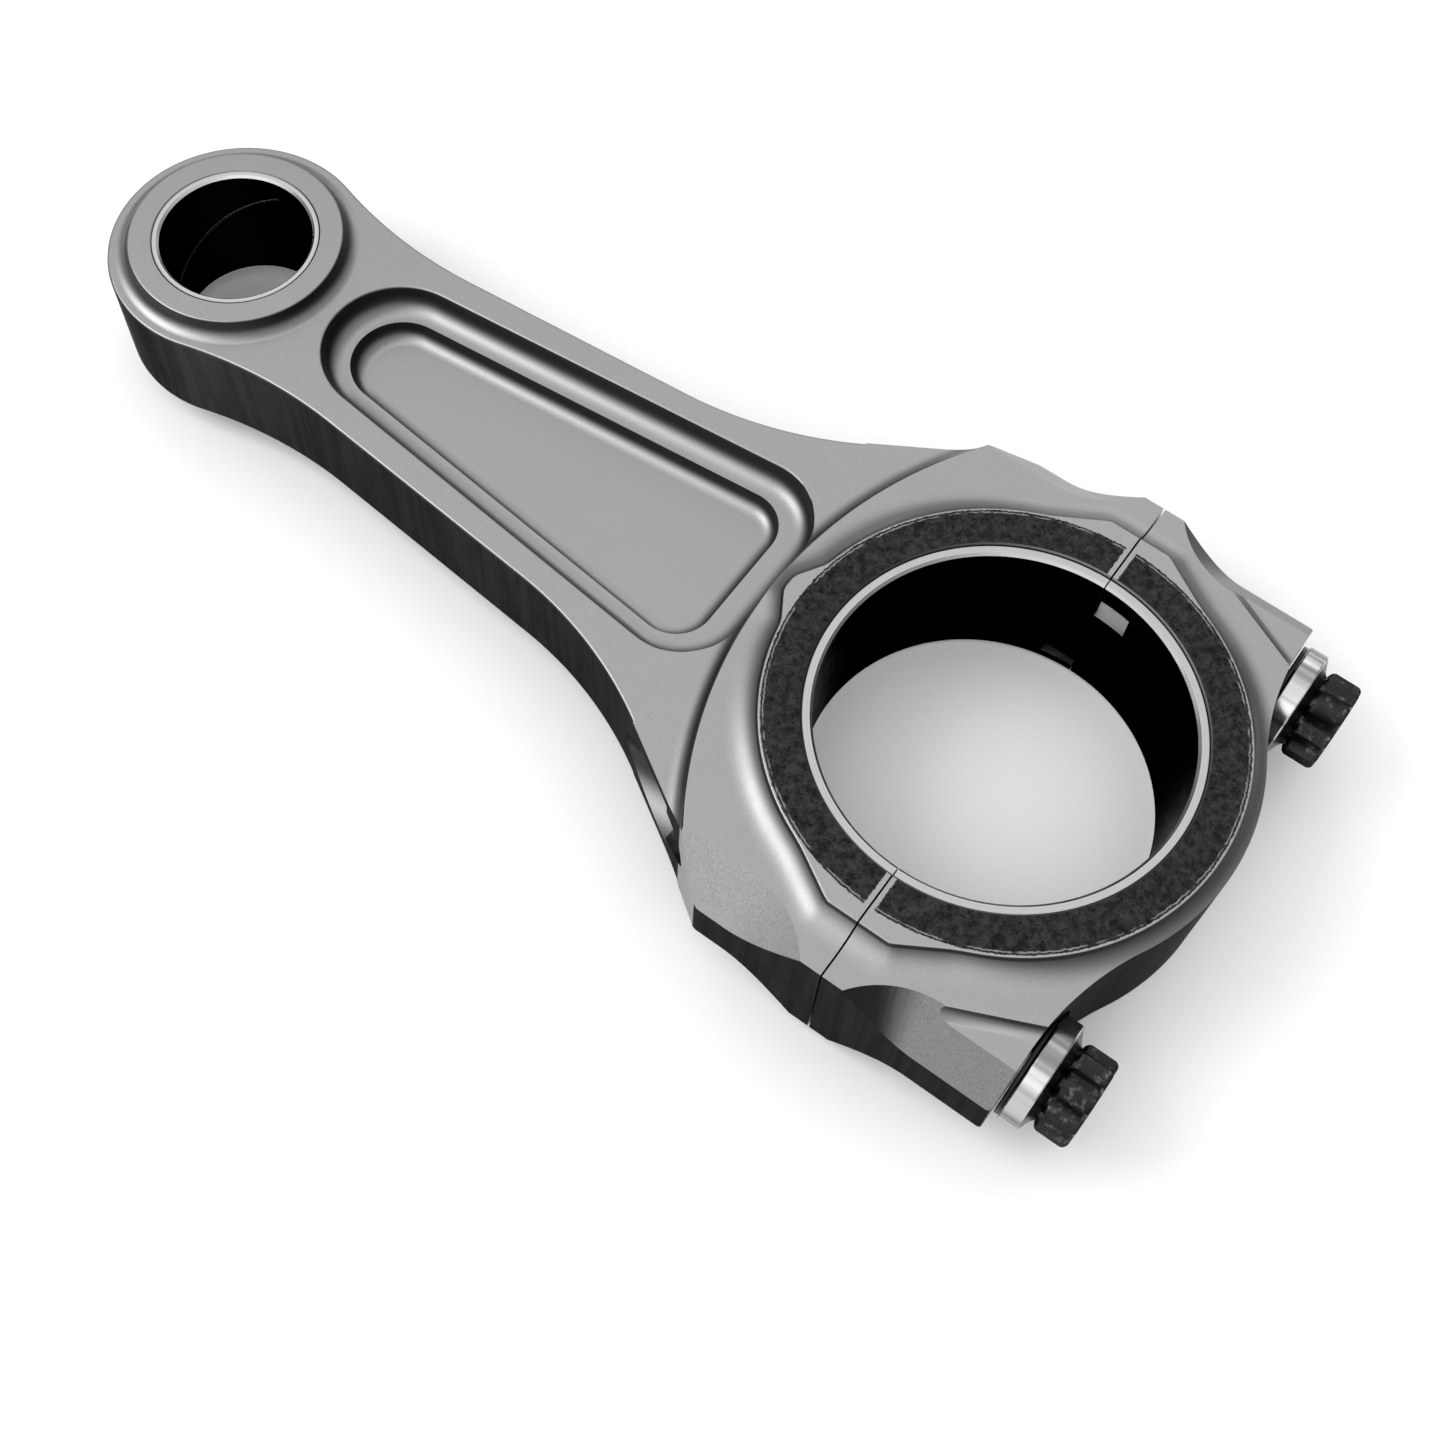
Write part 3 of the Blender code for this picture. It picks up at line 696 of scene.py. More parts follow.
class Wiring:
    """A node tree under construction."""

    def __init__(self, tree: bpy.types.NodeTree) -> None:
        """Opens the tree."""
        self.nodes = tree.nodes
        self.links = tree.links

    def add(self, kind: str, **settings: object) -> bpy.types.Node:
        """Adds a node and sets its properties.

        Args:
            kind: Blender's name for the node.
            settings: Its properties.

        Returns:
            The node.
        """
        node = self.nodes.new(kind)
        for name, value in settings.items():
            setattr(node, name, value)
        return node

    def math(self, operation: str, *values: object) -> bpy.types.NodeSocket:
        """Arithmetic on values or sockets.

        Args:
            operation: Blender's name for it.
            values: Its inputs, each a number or a socket.

        Returns:
            The result.
        """
        node = self.add("ShaderNodeMath", operation=operation)
        for socket, value in zip(node.inputs, values):
            if isinstance(value, bpy.types.NodeSocket):
                self.links.new(value, socket)
            else:
                socket.default_value = value
        return node.outputs["Value"]

    def vector_math(self, operation: str, vector: bpy.types.NodeSocket,
                    fixed: Point3 = (0.0, 0.0, 0.0)) -> bpy.types.NodeSocket:
        """A measure of a vector.

        Args:
            operation: Blender's name for it.
            vector: The vector.
            fixed: A second vector, for a dot product.

        Returns:
            The measure.
        """
        node = self.add("ShaderNodeVectorMath", operation=operation)
        self.links.new(vector, node.inputs[0])
        node.inputs[1].default_value = fixed
        return node.outputs["Value"]

    def band(self, value: bpy.types.NodeSocket, low: float, high: float,
             from_value: float = 0.0, to_value: float = 1.0) -> bpy.types.NodeSocket:
        """Remaps a value smoothly from one range to another.

        Args:
            value: The value.
            low: Start of its range.
            high: End of its range.
            from_value: Result at the start.
            to_value: Result at the end.

        Returns:
            The remapped value.
        """
        node = self.add("ShaderNodeMapRange", interpolation_type="SMOOTHSTEP")
        self.links.new(value, node.inputs["Value"])
        for name, number in (("From Min", low), ("From Max", high), ("To Min", from_value),
                             ("To Max", to_value)):
            node.inputs[name].default_value = number
        return node.outputs["Result"]


class Bench(Wiring):
    """A material under construction."""

    def __init__(self, name: str) -> None:
        """Starts a material with its Principled shader and Object coordinates."""
        self.material = bpy.data.materials.new(name)
        self.material.use_nodes = True
        super().__init__(self.material.node_tree)
        self.shader = self.nodes["Principled BSDF"]
        self.object_coords = self.nodes.new("ShaderNodeTexCoord").outputs["Object"]

    def placed(self, offset: Point3 = (0, 0, 0),
               scale: Point3 = (1, 1, 1)) -> bpy.types.NodeSocket:
        """Object coordinates, moved and stretched.

        Args:
            offset: How far they are moved.
            scale: How much they are stretched.

        Returns:
            The coordinates.
        """
        mapping = self.add("ShaderNodeMapping")
        mapping.inputs["Location"].default_value = offset
        mapping.inputs["Scale"].default_value = scale
        self.links.new(self.object_coords, mapping.inputs["Vector"])
        return mapping.outputs["Vector"]

    def noise(self, scale: float, detail: float = 2.0, roughness: float = 0.5,
              where: bpy.types.NodeSocket | None = None) -> bpy.types.NodeSocket:
        """Noise in metres.

        Args:
            scale: Cells for each metre.
            detail: Octaves.
            roughness: Weight of the fine octaves.
            where: Coordinates, or Object coordinates if left out.

        Returns:
            The noise's value.
        """
        node = self.add("ShaderNodeTexNoise")
        node.inputs["Scale"].default_value = scale
        node.inputs["Detail"].default_value = detail
        node.inputs["Roughness"].default_value = roughness
        self.links.new(where or self.object_coords, node.inputs["Vector"])
        return node.outputs["Fac"]

    def pattern(self, grain: Grain, from_value: float = 0.0, to_value: float = 1.0,
                where: bpy.types.NodeSocket | None = None) -> bpy.types.NodeSocket:
        """A noise pattern with soft edges.

        Args:
            grain: The pattern.
            from_value: Result where it doesn't show.
            to_value: Result where it does.
            where: Coordinates, or Object coordinates if left out.

        Returns:
            The pattern's value.
        """
        value = self.noise(grain.scale, grain.detail, grain.roughness, where)
        return self.band(value, grain.low, grain.high, from_value, to_value)

    def attribute(self, name: str) -> bpy.types.NodeSocket:
        """A number that the mesh carries at its corners."""
        return self.add("ShaderNodeAttribute", attribute_name=name).outputs["Fac"]

    def blended(self, amount: bpy.types.NodeSocket, first: object,
                second: object) -> bpy.types.NodeSocket:
        """Mixes two greys or two colour sockets.

        Args:
            amount: Share of the second.
            first: The first grey or socket.
            second: The second grey or socket.

        Returns:
            The mixed colour.
        """
        node = self.add("ShaderNodeMix", data_type="RGBA")
        self.links.new(amount, node.inputs[0])
        for socket, value in ((node.inputs[6], first), (node.inputs[7], second)):
            if isinstance(value, bpy.types.NodeSocket):
                self.links.new(value, socket)
            else:
                socket.default_value = (*value, 1.0)
        return node.outputs[2]

    def bump(self, height: bpy.types.NodeSocket, distance: float, strength: float = 1.0) -> None:
        """Roughens the surface by a height map.

        Args:
            height: The height map.
            distance: Its depth in metres.
            strength: How strongly it shows.
        """
        node = self.add("ShaderNodeBump")
        node.inputs["Distance"].default_value = distance
        node.inputs["Strength"].default_value = strength
        self.links.new(height, node.inputs["Height"])
        self.links.new(node.outputs["Normal"], self.shader.inputs["Normal"])

    def colour(self, socket: bpy.types.NodeSocket) -> None:
        """Feeds the base colour."""
        self.links.new(socket, self.shader.inputs["Base Color"])

    def roughness(self, socket: bpy.types.NodeSocket) -> None:
        """Feeds the roughness."""
        self.links.new(socket, self.shader.inputs["Roughness"])

    def done(self, metallic: float, **fixed: object) -> bpy.types.Material:
        """Sets the uniform values on the shader's own sockets and gives the material."""
        self.shader.inputs["Metallic"].default_value = metallic
        for name, value in fixed.items():
            self.shader.inputs[name.replace("_", " ")].default_value = value
        return self.material


def grey(value: float, warmth: float = 0.0) -> Point3:
    """A grey, a little warmer when asked."""
    return (value * (1.0 + warmth), value, value * (1.0 - warmth))


@dataclass(frozen=True)
class BlastedMetal:
    """Bead-blasted or shot-peened metal: cloudy tone, fine grain and small dimples.

    Two settings paint shade into the colour: one darkens walls by their steepness, the other darkens
    faces that look toward the cap.
    """

    name: str
    tone: float
    roughness: float
    warmth: float = 0.006
    cloud: float = 0.015
    grain: float = 0.07
    grain_scale: float = 5200.0
    dimple: float = 0.000006
    # Vertical streaks, partly machining marks and partly painted reflection bands.
    streak_and_sheen: float = 0.0
    # Strength of the painted shade on steep walls and on faces that lean toward the cap.
    painted_slope_shade: float = 0.0
    painted_lean_shade: float = 0.0
    edge_tint: float = 1.0
    cloud_scale: float = 260.0
    streak_and_sheen_grain: Grain = Grain(1.0, 3.0, 0.6, 0.35, 0.65)
    streak_and_sheen_stretch: Point3 = (900.0, 900.0, 40.0)
    rough_play: float = 0.015

    def material(self) -> bpy.types.Material:
        """Builds the node material.

        Returns:
            The material.
        """
        bench = Bench(self.name)
        clouds = bench.noise(self.cloud_scale, 3.0, 0.55)
        grains = bench.noise(self.grain_scale, 2.0, 0.6)
        spread = bench.math("MULTIPLY_ADD", clouds, 2.0 * self.cloud, -self.cloud)
        grained = bench.math("MULTIPLY_ADD", grains, 2.0 * self.grain, -self.grain)
        amount = bench.math("ADD", bench.math("ADD", spread, grained), 0.5)
        # Vertical streaks in the colour: partly machining marks, partly painted reflection bands.
        if self.streak_and_sheen:
            lines = bench.pattern(self.streak_and_sheen_grain, -self.streak_and_sheen, self.streak_and_sheen,
                                  bench.placed(scale=self.streak_and_sheen_stretch))
            amount = bench.math("ADD", amount, lines)
        light = grey(self.tone * 2.0, self.warmth)
        colour = bench.blended(amount, (0.0, 0.0, 0.0), light)
        # Painted shade: steep walls darken by the slope attribute, and faces turned toward the cap
        # by the lean attribute.
        for name, start, most, dark in (("slope", 0.05, self.painted_slope_shade, 0.08),
                                        ("lean", 0.10, self.painted_lean_shade, 0.05)):
            if most:
                share = bench.band(bench.attribute(name), start, 0.45, 0.0, most)
                colour = bench.blended(share, colour, grey(self.tone * dark))
        bench.colour(colour)
        bench.roughness(bench.band(clouds, 0.3, 0.7, self.roughness - self.rough_play,
                                   self.roughness + self.rough_play))
        bench.bump(grains, self.dimple)
        return bench.done(1.0, Specular_Tint=(*grey(self.edge_tint), 1.0))


@dataclass(frozen=True)
class WornThrustCoat:
    """Thrust face with a dark, pitted and scuffed coating that stops short of its edges."""

    name: str
    centre: Point3
    outer: float
    strip: float
    tone: float = 0.30
    edge_blur: float = 0.00006
    strip_blur: float = 0.00008
    raggedness: float = 0.00045
    blotch: Grain = Grain(900.0, 6.0, 0.74, 0.34, 0.68)
    blotch_tones: Point = (0.012, 0.042)
    pit: Grain = Grain(3400.0, 2.0, 0.5, 0.60, 0.68)
    pit_tone: float = 0.003
    scuff: Grain = Grain(1500.0, 4.0, 0.75, 0.62, 0.72)
    scuff_tone: float = 0.14
    line_break: Grain = Grain(300.0, 3.0, 0.6, 0.40, 0.52)
    line_inset: tuple[float, ...] = (0.00042, 0.00036, 0.00026, 0.00020)
    line_tone: float = 0.20
    bare_spread: float = 0.14

    def material(self) -> bpy.types.Material:
        """Builds the node material.

        Returns:
            The material.
        """
        bench = Bench(self.name)
        local = bench.placed(offset=tuple(-c for c in self.centre))
        split = bench.add("ShaderNodeSeparateXYZ")
        bench.links.new(local, split.inputs[0])
        x, y = split.outputs[0], split.outputs[1]
        radius = bench.math("SQRT", bench.math("ADD", bench.math("MULTIPLY", x, x),
                                               bench.math("MULTIPLY", y, y)))
        ragged = bench.math("MULTIPLY", bench.math("SUBTRACT", bench.noise(1900.0, 3.0, 0.6), 0.5),
                            self.raggedness)
        edge = bench.math("ADD", radius, ragged)
        outside = bench.band(edge, self.outer - self.edge_blur, self.outer + self.edge_blur)
        parting = bench.math("ADD", bench.math("ABSOLUTE", x), ragged)
        coated = bench.math("MULTIPLY", bench.math("SUBTRACT", 1.0, outside),
                            bench.band(parting, self.strip - self.strip_blur,
                                       self.strip + self.strip_blur))
        blotches, pits = bench.pattern(self.blotch), bench.pattern(self.pit)
        scuffs = bench.pattern(self.scuff)
        coat = bench.blended(blotches, *(grey(tone) for tone in self.blotch_tones))
        coat = bench.blended(bench.math("MULTIPLY", pits, 0.8), coat, grey(self.pit_tone))
        coat = bench.blended(bench.math("MULTIPLY", scuffs, 0.25), coat, grey(self.scuff_tone))
        rise_start, rise_end, fall_start, fall_end = (self.outer - i for i in self.line_inset)
        line = bench.math("MULTIPLY", bench.band(edge, rise_start, rise_end),
                          bench.band(edge, fall_start, fall_end, 1.0, 0.0))
        broken = bench.math("MULTIPLY", line, bench.pattern(self.line_break))
        coat = bench.blended(broken, coat, grey(self.line_tone))
        bare = bench.blended(bench.noise(5200.0, 2.0, 0.6),
                             grey(self.tone * (1.0 - self.bare_spread)),
                             grey(self.tone * (1.0 + self.bare_spread)))
        bench.colour(bench.blended(coated, bare, coat))
        bench.roughness(bench.band(coated, 0.0, 1.0, 0.38, 0.52))
        bench.bump(bench.math("SUBTRACT", blotches, pits), 0.00002, 0.6)
        return bench.done(1.0)


@dataclass(frozen=True)
class TurnedMetal:
    """Ground or turned metal with fine rings about one axis.

    `wear` scuffs it bare in places, and a second setting lays dark bands that run along the axis.
    """

    name: str
    tone: float
    roughness: float
    axis: Point3
    centre: Point3
    ring: float = 0.10
    ring_scale: float = 9000.0
    wear: float = 0.0
    axial_dark_bands: float = 0.0
    edge_tint: float = 1.0
    scuff: Grain = Grain(900.0, 4.0, 0.7, 0.52, 0.70)
    axial_band_grain: Grain = Grain(1.0, 2.0, 0.6, 0.44, 0.58)
    axial_band_stretch: float = 330.0
    cloud: Grain = Grain(420.0, 2.0, 0.5, 0.3, 0.7)

    def material(self) -> bpy.types.Material:
        """Builds the node material.

        Returns:
            The material.
        """
        bench = Bench(self.name)
        local = bench.placed(offset=tuple(-c for c in self.centre))
        level = bench.vector_math("DOT_PRODUCT", local, self.axis)
        reach = bench.vector_math("LENGTH", local)
        radius = bench.math("SQRT", bench.math("SUBTRACT", bench.math("MULTIPLY", reach, reach),
                                               bench.math("MULTIPLY", level, level)))
        rings = bench.add("ShaderNodeTexNoise", noise_dimensions="1D")
        rings.inputs["Scale"].default_value = self.ring_scale
        rings.inputs["Detail"].default_value = 3.0
        bench.links.new(bench.math("ADD", radius, level), rings.inputs["W"])
        tones = grey(self.tone * (1.0 - self.ring)), grey(self.tone * (1.0 + self.ring))
        colour = bench.blended(bench.band(rings.outputs["Fac"], 0.3, 0.7), *tones)
        if self.wear:
            scuffs = bench.pattern(self.scuff, 0.0, self.wear)
            colour = bench.blended(scuffs, colour, grey(0.30))
        # Dark bands that stay the same along the axis and vary round it.
        if self.axial_dark_bands:
            across = bench.placed(scale=tuple(self.axial_band_stretch * (1.0 - a) for a in self.axis))
            bands = bench.pattern(self.axial_band_grain, 0.0, self.axial_dark_bands, across)
            colour = bench.blended(bands, colour, grey(self.tone * 0.12))
        bench.colour(colour)
        bench.roughness(bench.pattern(self.cloud, self.roughness - 0.03, self.roughness + 0.05))
        bench.bump(rings.outputs["Fac"], 0.000001)
        return bench.done(1.0, Specular_Tint=(*grey(self.edge_tint), 1.0))


# ---------------------------------------------------------------- dressing
def dress(mesh: bpy.types.Mesh, materials: Sequence[bpy.types.Material], role: object,
          home: Vector, body: str, stands_for: str) -> bpy.types.Object:
    """Gives a carved mesh its finishes, puts it in its place and rides it on its body.

    Args:
        mesh: The carved mesh, built round the small-end centre; its object exists already.
        materials: Finishes, in slot order.
        role: Function from a face's centre and normal to the number of its finish.
        home: The small-end centre in the row's frame.
        body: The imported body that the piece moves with.
        stands_for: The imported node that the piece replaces.

    Returns:
        The finished object.
    """
    obj = next(o for o in bpy.context.scene.objects if o.data == mesh)
    for material in materials:
        mesh.materials.append(material)
    for polygon in mesh.polygons:
        polygon.material_index = role(polygon.center, polygon.normal)
        polygon.use_smooth = True
    mesh.set_sharp_from_angle(angle=SHARP_ANGLE)
    # Slope and lean of each corner normal, read by the finishes that paint shade on steep walls and
    # on faces turned toward the cap.
    slope = mesh.attributes.new("slope", "FLOAT", "CORNER")
    slope.data.foreach_set("value", [1.0 - abs(n.vector.z) for n in mesh.corner_normals])
    lean = mesh.attributes.new("lean", "FLOAT", "CORNER")
    lean.data.foreach_set("value", [n.vector.x for n in mesh.corner_normals])
    mesh.transform(Matrix.Translation(home))
    weighted = obj.modifiers.new("weighted_normals", "WEIGHTED_NORMAL")
    weighted.keep_sharp = True
    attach(obj, body)
    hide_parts(stands_for)
    LOG.info("%s: %d faces", obj.name, len(mesh.polygons))
    return obj


@dataclass(frozen=True)
class ForgingFinishes:
    """Finishes of the rod and its cap, in the order of Surface."""

    plan: BigEndPlan
    # Tone share of the peened facets, as painted light: raised on the rod, and lowered on the cap
    # where the facets turn away from the light.
    facet_painted_light: float = 1.1
    tone: float = 0.29
    coat_margin: float = 0.00035
    coat_strip: float = 0.00065

    def materials(self, owner: str) -> list[bpy.types.Material]:
        """Builds one set of materials.

        Args:
            owner: Piece that wears them.

        Returns:
            The materials, in slot order.
        """
        places = self.plan.places
        centre = (places.home.x + places.big_end_x, places.home.y, places.home.z)
        return [
            # Beaded faces, with painted shade on steep walls and on faces that lean toward the cap.
            BlastedMetal(f"{owner}_beaded", self.tone, 0.40, painted_slope_shade=0.92, painted_lean_shade=0.5).material(),
            # Side walls: the low tone and weak edge tint are painted shade; the streaks are partly
            # machining marks, partly painted reflection bands.
            BlastedMetal(f"{owner}_flank", 0.060, 0.44, streak_and_sheen=0.06, grain=0.08,
                         edge_tint=0.25).material(),
            # Peened facets: tone scaled as painted light, with painted shade on faces that lean
            # toward the cap.
            BlastedMetal(f"{owner}_peened_facet", self.tone * self.facet_painted_light, 0.48, grain=0.17,
                         grain_scale=4200.0, dimple=0.000045, painted_lean_shade=0.95).material(),
            WornThrustCoat(f"{owner}_thrust_face", centre,
                           self.plan.boss_radius - self.coat_margin, self.coat_strip).material(),
            # Walls of bores and bolt holes: the darker tone is painted shade inside them.
            BlastedMetal(f"{owner}_bore", 0.16, 0.30, grain=0.03).material(),
        ]


def shared_surface(plan: BigEndPlan, centre: Vector, normal: Vector,
                   bored: bool) -> Surface | None:
    """Tells the finish that the rod and its cap give a face alike.

    Args:
        plan: Plan of the big end.
        centre: Centre of the face.
        normal: Its normal.
        bored: True for a wall of a bore or of a bolt hole.

    Returns:
        The finish, or nothing where the rod and the cap have rules of their own.
    """
    height = abs(centre.z)
    if height > plan.places.big_top - NEAR_FACE:
        return Surface.THRUST
    if bored:
        return Surface.BORE
    on_facet = abs(height - plan.facet_height(centre)) < NEAR_WALL
    return Surface.FACET if on_facet and SLANTED < abs(normal.z) < LEVEL else None


@dataclass(frozen=True)
class RodBeam:
    """Small end, pocketed shank and the rod half of the big end, in one forging."""

    plan: BigEndPlan
    end_radius: float = 0.0157
    waist_x: float = 0.0205
    waist_half: float = 0.0127
    taper: float = math.radians(5.14)
    flare: float = math.radians(31.8)
    flare_radius: float = 0.0480
    shoulder_angle: float = math.radians(40.8)
    shoulder_run: float = 0.0058
    shoulder_reach: float = 0.0157
    corner_radius: float = 0.0012
    step_radius: float = 0.0530
    step_clearance: float = 0.0017
    step_fillet: float = 0.0024
    boss_wall: float = 0.0030
    boss_top: float = 0.00865
    boss_fillet: float = 0.0022
    pocket_end_x: float = 0.02525
    pocket_radius: float = 0.0091
    pocket_taper: float = math.radians(5.9)
    pocket_corner: float = 0.0080
    pocket_to_step: float = 0.0002
    ledge_z: float = 0.0039
    ledge_fillet: float = 0.0026
    ledge_side: float = 0.0030
    ledge_toe: float = 0.0042
    web_corner: float = 0.0047
    web_half: float = 0.0018
    relief_radius: float = 0.0052
    relief_reach: float = 0.0245
    relief_length: float = 0.0220
    hole_depth: float = 0.03
    pocket_rim: float = 0.0012
    shoulder_start: float = 0.008
    boss_foot: float = 0.004
    edge: float = 0.00035
    edge_fade: float = 0.006
    edge_cover: float = 0.0004
    pocket_fade_start: float = 0.0020
    pocket_fade: float = 0.004

    @property
    def step_x(self) -> float:
        """Where the step meets the rod's axis."""
        places = self.plan.places
        return (places.big_end_x - self.plan.boss_radius - self.plan.ear_rise
                - self.step_clearance)

    def half_outline(self) -> list[Point]:
        """The +Y edge in plan, from the small end's tip to the parting face."""
        places = self.plan.places
        rise = self.end_radius - self.waist_half
        waist_radius = (self.waist_x ** 2 + self.waist_half ** 2
                        - self.end_radius ** 2) / (2 * rise)
        waist_centre = (self.waist_x, self.waist_half + waist_radius)
        touch = math.atan2(waist_centre[1], waist_centre[0])
        points = arc((0.0, 0.0), self.end_radius, math.pi, touch, 72)
        points += arc(waist_centre, waist_radius, touch - math.pi,
                      self.taper - math.pi / 2, 24)[1:]
        start = points[-1]
        outer = (places.big_end_x - self.shoulder_reach, places.half_span)
        knee = (outer[0] - self.shoulder_run,
                outer[1] - self.shoulder_run * math.tan(self.shoulder_angle))
        slope_in, slope_out = math.tan(self.taper), math.tan(self.flare)
        drop = start[1] - slope_in * start[0] - knee[1] + slope_out * knee[0]
        meet_x = drop / (slope_out - slope_in)
        meet = (meet_x, start[1] + slope_in * (meet_x - start[0]))
        end = (places.big_end_x - self.plan.parting_gap / 2, places.half_span)
        points += [(start[0] + (meet_x - start[0]) * t / 8,
                    start[1] + (meet[1] - start[1]) * t / 8) for t in range(1, 4)]
        points += rounded_corner(start, meet, knee, self.flare_radius, 32)
        points += rounded_corner(meet, knee, outer, 2 * self.corner_radius, 4)
        points += rounded_corner(knee, outer, end, self.corner_radius, 8)
        return points + [end]

    def left_of_step(self, offset: float) -> list[Point]:
        """Everything on the shank side of the step.

        Args:
            offset: How far the edge is moved toward the shank.

        Returns:
            The outline of the region.
        """
        radius = self.step_radius + offset
        reach = math.asin((self.plan.places.half_span + OVERCUT) / radius)
        edge = arc((self.step_x + self.step_radius, 0.0), radius, math.pi + reach,
                   math.pi - reach, 120)
        left_x = -self.end_radius - OVERCUT
        return edge + [(left_x, edge[-1][1]), (left_x, edge[0][1])]

    def shank_clearance(self) -> bmesh.types.BMesh:
        """Everything above and below the shank, up to the filleted step."""
        plan = self.plan
        height = plan.shoulder_top - plan.shank_top
        rings = [at_height(self.left_of_step(offset), plan.shank_top + rise)
                 for offset, rise in concave(self.step_fillet, height - plan.edge / 2, 10)]
        rings += [at_height(self.left_of_step(-inset), plan.shoulder_top - drop)
                  for inset, drop in edge_round(plan.edge / 2)[1:]]
        rings.append(at_height(self.left_of_step(-plan.edge / 2), plan.places.big_top + OVERCUT))
        return with_mirror(loft(rings), 2)

    def broken_edge(self) -> bmesh.types.BMesh:
        """Rounded edge of the shank and small end, which dies out at the step."""
        top = self.plan.shank_top
        cover = top + self.edge_cover
        fade = self.step_x + self.edge_fade
        half = [p for p in self.half_outline() if p[0] < fade]
        path = [(x, -y) for x, y in reversed(half) if abs(y) > ON_AXIS] + half
        sections = []
        for i, (x, y) in enumerate(path):
            before, after = path[max(i - 1, 0)], path[min(i + 1, len(path) - 1)]
            run = Vector((after[0] - before[0], after[1] - before[1])).normalized()
            out = Vector((-run.y, run.x))
            size = self.edge * min(1.0, max(0.04, (fade - x) / self.edge_fade))
            profile = [(-inset, top - drop) for inset, drop in edge_round(size)]
            profile += [(-size, cover), (2 * self.edge_cover, cover),
                        (2 * self.edge_cover, top - size)]
            sections.append([(x + out.x * o, y + out.y * o, z) for o, z in profile])
        return with_mirror(loft(sections), 2)

    def small_boss(self) -> bmesh.types.BMesh:
        """Round bosses of the small end, both faces in one turned body."""
        foot = self.plan.shank_top - SINK
        radius = self.plan.places.small_bore + self.boss_wall
        edge = self.plan.edge
        profile = [(radius + offset, foot + rise)
                   for offset, rise in concave(self.boss_fillet, self.boss_top - edge - foot, 10)]
        profile += [(radius - inset, self.boss_top - drop) for inset, drop in edge_round(edge)[1:]]
        profile.append((0.0, self.boss_top))
        return turned([(r, -z) for r, z in reversed(profile)] + profile, 160)

    def pocket_outline(self, radius: float, right_x: float, corner: float,
                       inset: float) -> list[Point]:
        """Tapered pocket with a round end at the small end and two corners at the big end.

        Args:
            radius: Radius of the round end.
            right_x: Place of the straight end.
            corner: Radius of the corners there.
            inset: How much the outline is shrunk.

        Returns:
            The outline.
        """
        normal = math.pi / 2 + self.pocket_taper
        corner_x = right_x - corner
        rise = radius - corner + math.sin(self.pocket_taper) * (corner_x - self.pocket_end_x)
        corner_y = rise / math.cos(self.pocket_taper)
        outline = arc((corner_x, corner_y), corner - inset, 0.0, normal, 24)
        outline += arc((self.pocket_end_x, 0.0), radius - inset, normal, math.tau - normal, 48)
        outline += arc((corner_x, -corner_y), corner - inset, math.tau - normal, math.tau, 24)
        return outline

    def pockets(self) -> bmesh.types.BMesh:
        """Stepped pockets of both faces, with filleted floors and a broken upper edge."""
        plan = self.plan
        right_x = self.step_x - self.pocket_to_step
        lower = (self.pocket_radius - self.ledge_side, right_x - self.ledge_toe, self.web_corner)
        upper = (self.pocket_radius, right_x, self.pocket_corner)
        depth = self.ledge_z - self.web_half
        rings = [at_height(self.pocket_outline(*lower, inset), self.web_half + rise)
                 for inset, rise in concave(depth, depth, 10)]
        rings += [at_height(self.pocket_outline(*upper, inset), self.ledge_z + rise)
                  for inset, rise in concave(self.ledge_fillet, self.ledge_fillet, 12)]
        wall = self.pocket_outline(*upper, 0.0)
        rings.pop()
        rings.append(at_height(wall, plan.shank_top - self.edge - HAIR))
        for inset, drop in edge_round(self.edge)[1:]:
            grown = self.pocket_outline(*upper, -inset)
            fades = [min(1.0, max(0.02, (right_x - self.pocket_fade_start - x) / self.pocket_fade))
                     for x, _ in wall]
            rings.append([(x + (gx - x) * f, y + (gy - y) * f, plan.shank_top - drop)
                          for (x, y), (gx, gy), f in zip(wall, grown, fades)])
        rings.append([(x, y, plan.places.big_top + OVERCUT) for x, y, _ in rings[-1]])
        return with_mirror(loft(rings), 2)

    def surface(self, centre: Vector, normal: Vector) -> int:
        """Tells which finish a face of the rod wears.

        Args:
            centre: Centre of the face.
            normal: Its normal.

        Returns:
            The number of the finish.
        """
        plan, places = self.plan, self.plan.places
        height, upright = abs(centre.z), abs(normal.z)
        from_big = math.hypot(centre.x - places.big_end_x, centre.y)
        from_small = math.hypot(centre.x, centre.y)
        from_bolt = math.hypot(abs(centre.y) - places.bolt_offset, centre.z)
        in_bore = (from_big < plan.housing + NEAR_WALL
                   or from_small < places.small_bore + 2 * NEAR_HOLE)
        in_hole = (from_bolt < plan.bolt_hole + NEAR_HOLE
                   and centre.x > places.big_end_x - self.hole_depth)
        shared = shared_surface(plan, centre, normal, (in_bore and upright < LEVEL) or in_hole)
        if shared is not None:
            return shared.value
        pocket_edge = (self.waist_half - self.pocket_rim
                       + math.tan(self.pocket_taper) * max(0.0, centre.x - self.waist_x))
        in_pocket = (self.pocket_end_x - self.pocket_radius < centre.x
                     and centre.x < self.step_x + 3 * NEAR_HOLE and abs(centre.y) < pocket_edge)
        wall = height < plan.shank_top - SINK and not in_pocket
        shoulder = (centre.x > self.step_x + self.shoulder_start
                    and from_big > plan.boss_radius + self.boss_foot)
        if upright < STEEP and (wall or (shoulder and height < plan.shoulder_top)):
            return Surface.FLANK.value
        return Surface.BEADED.value

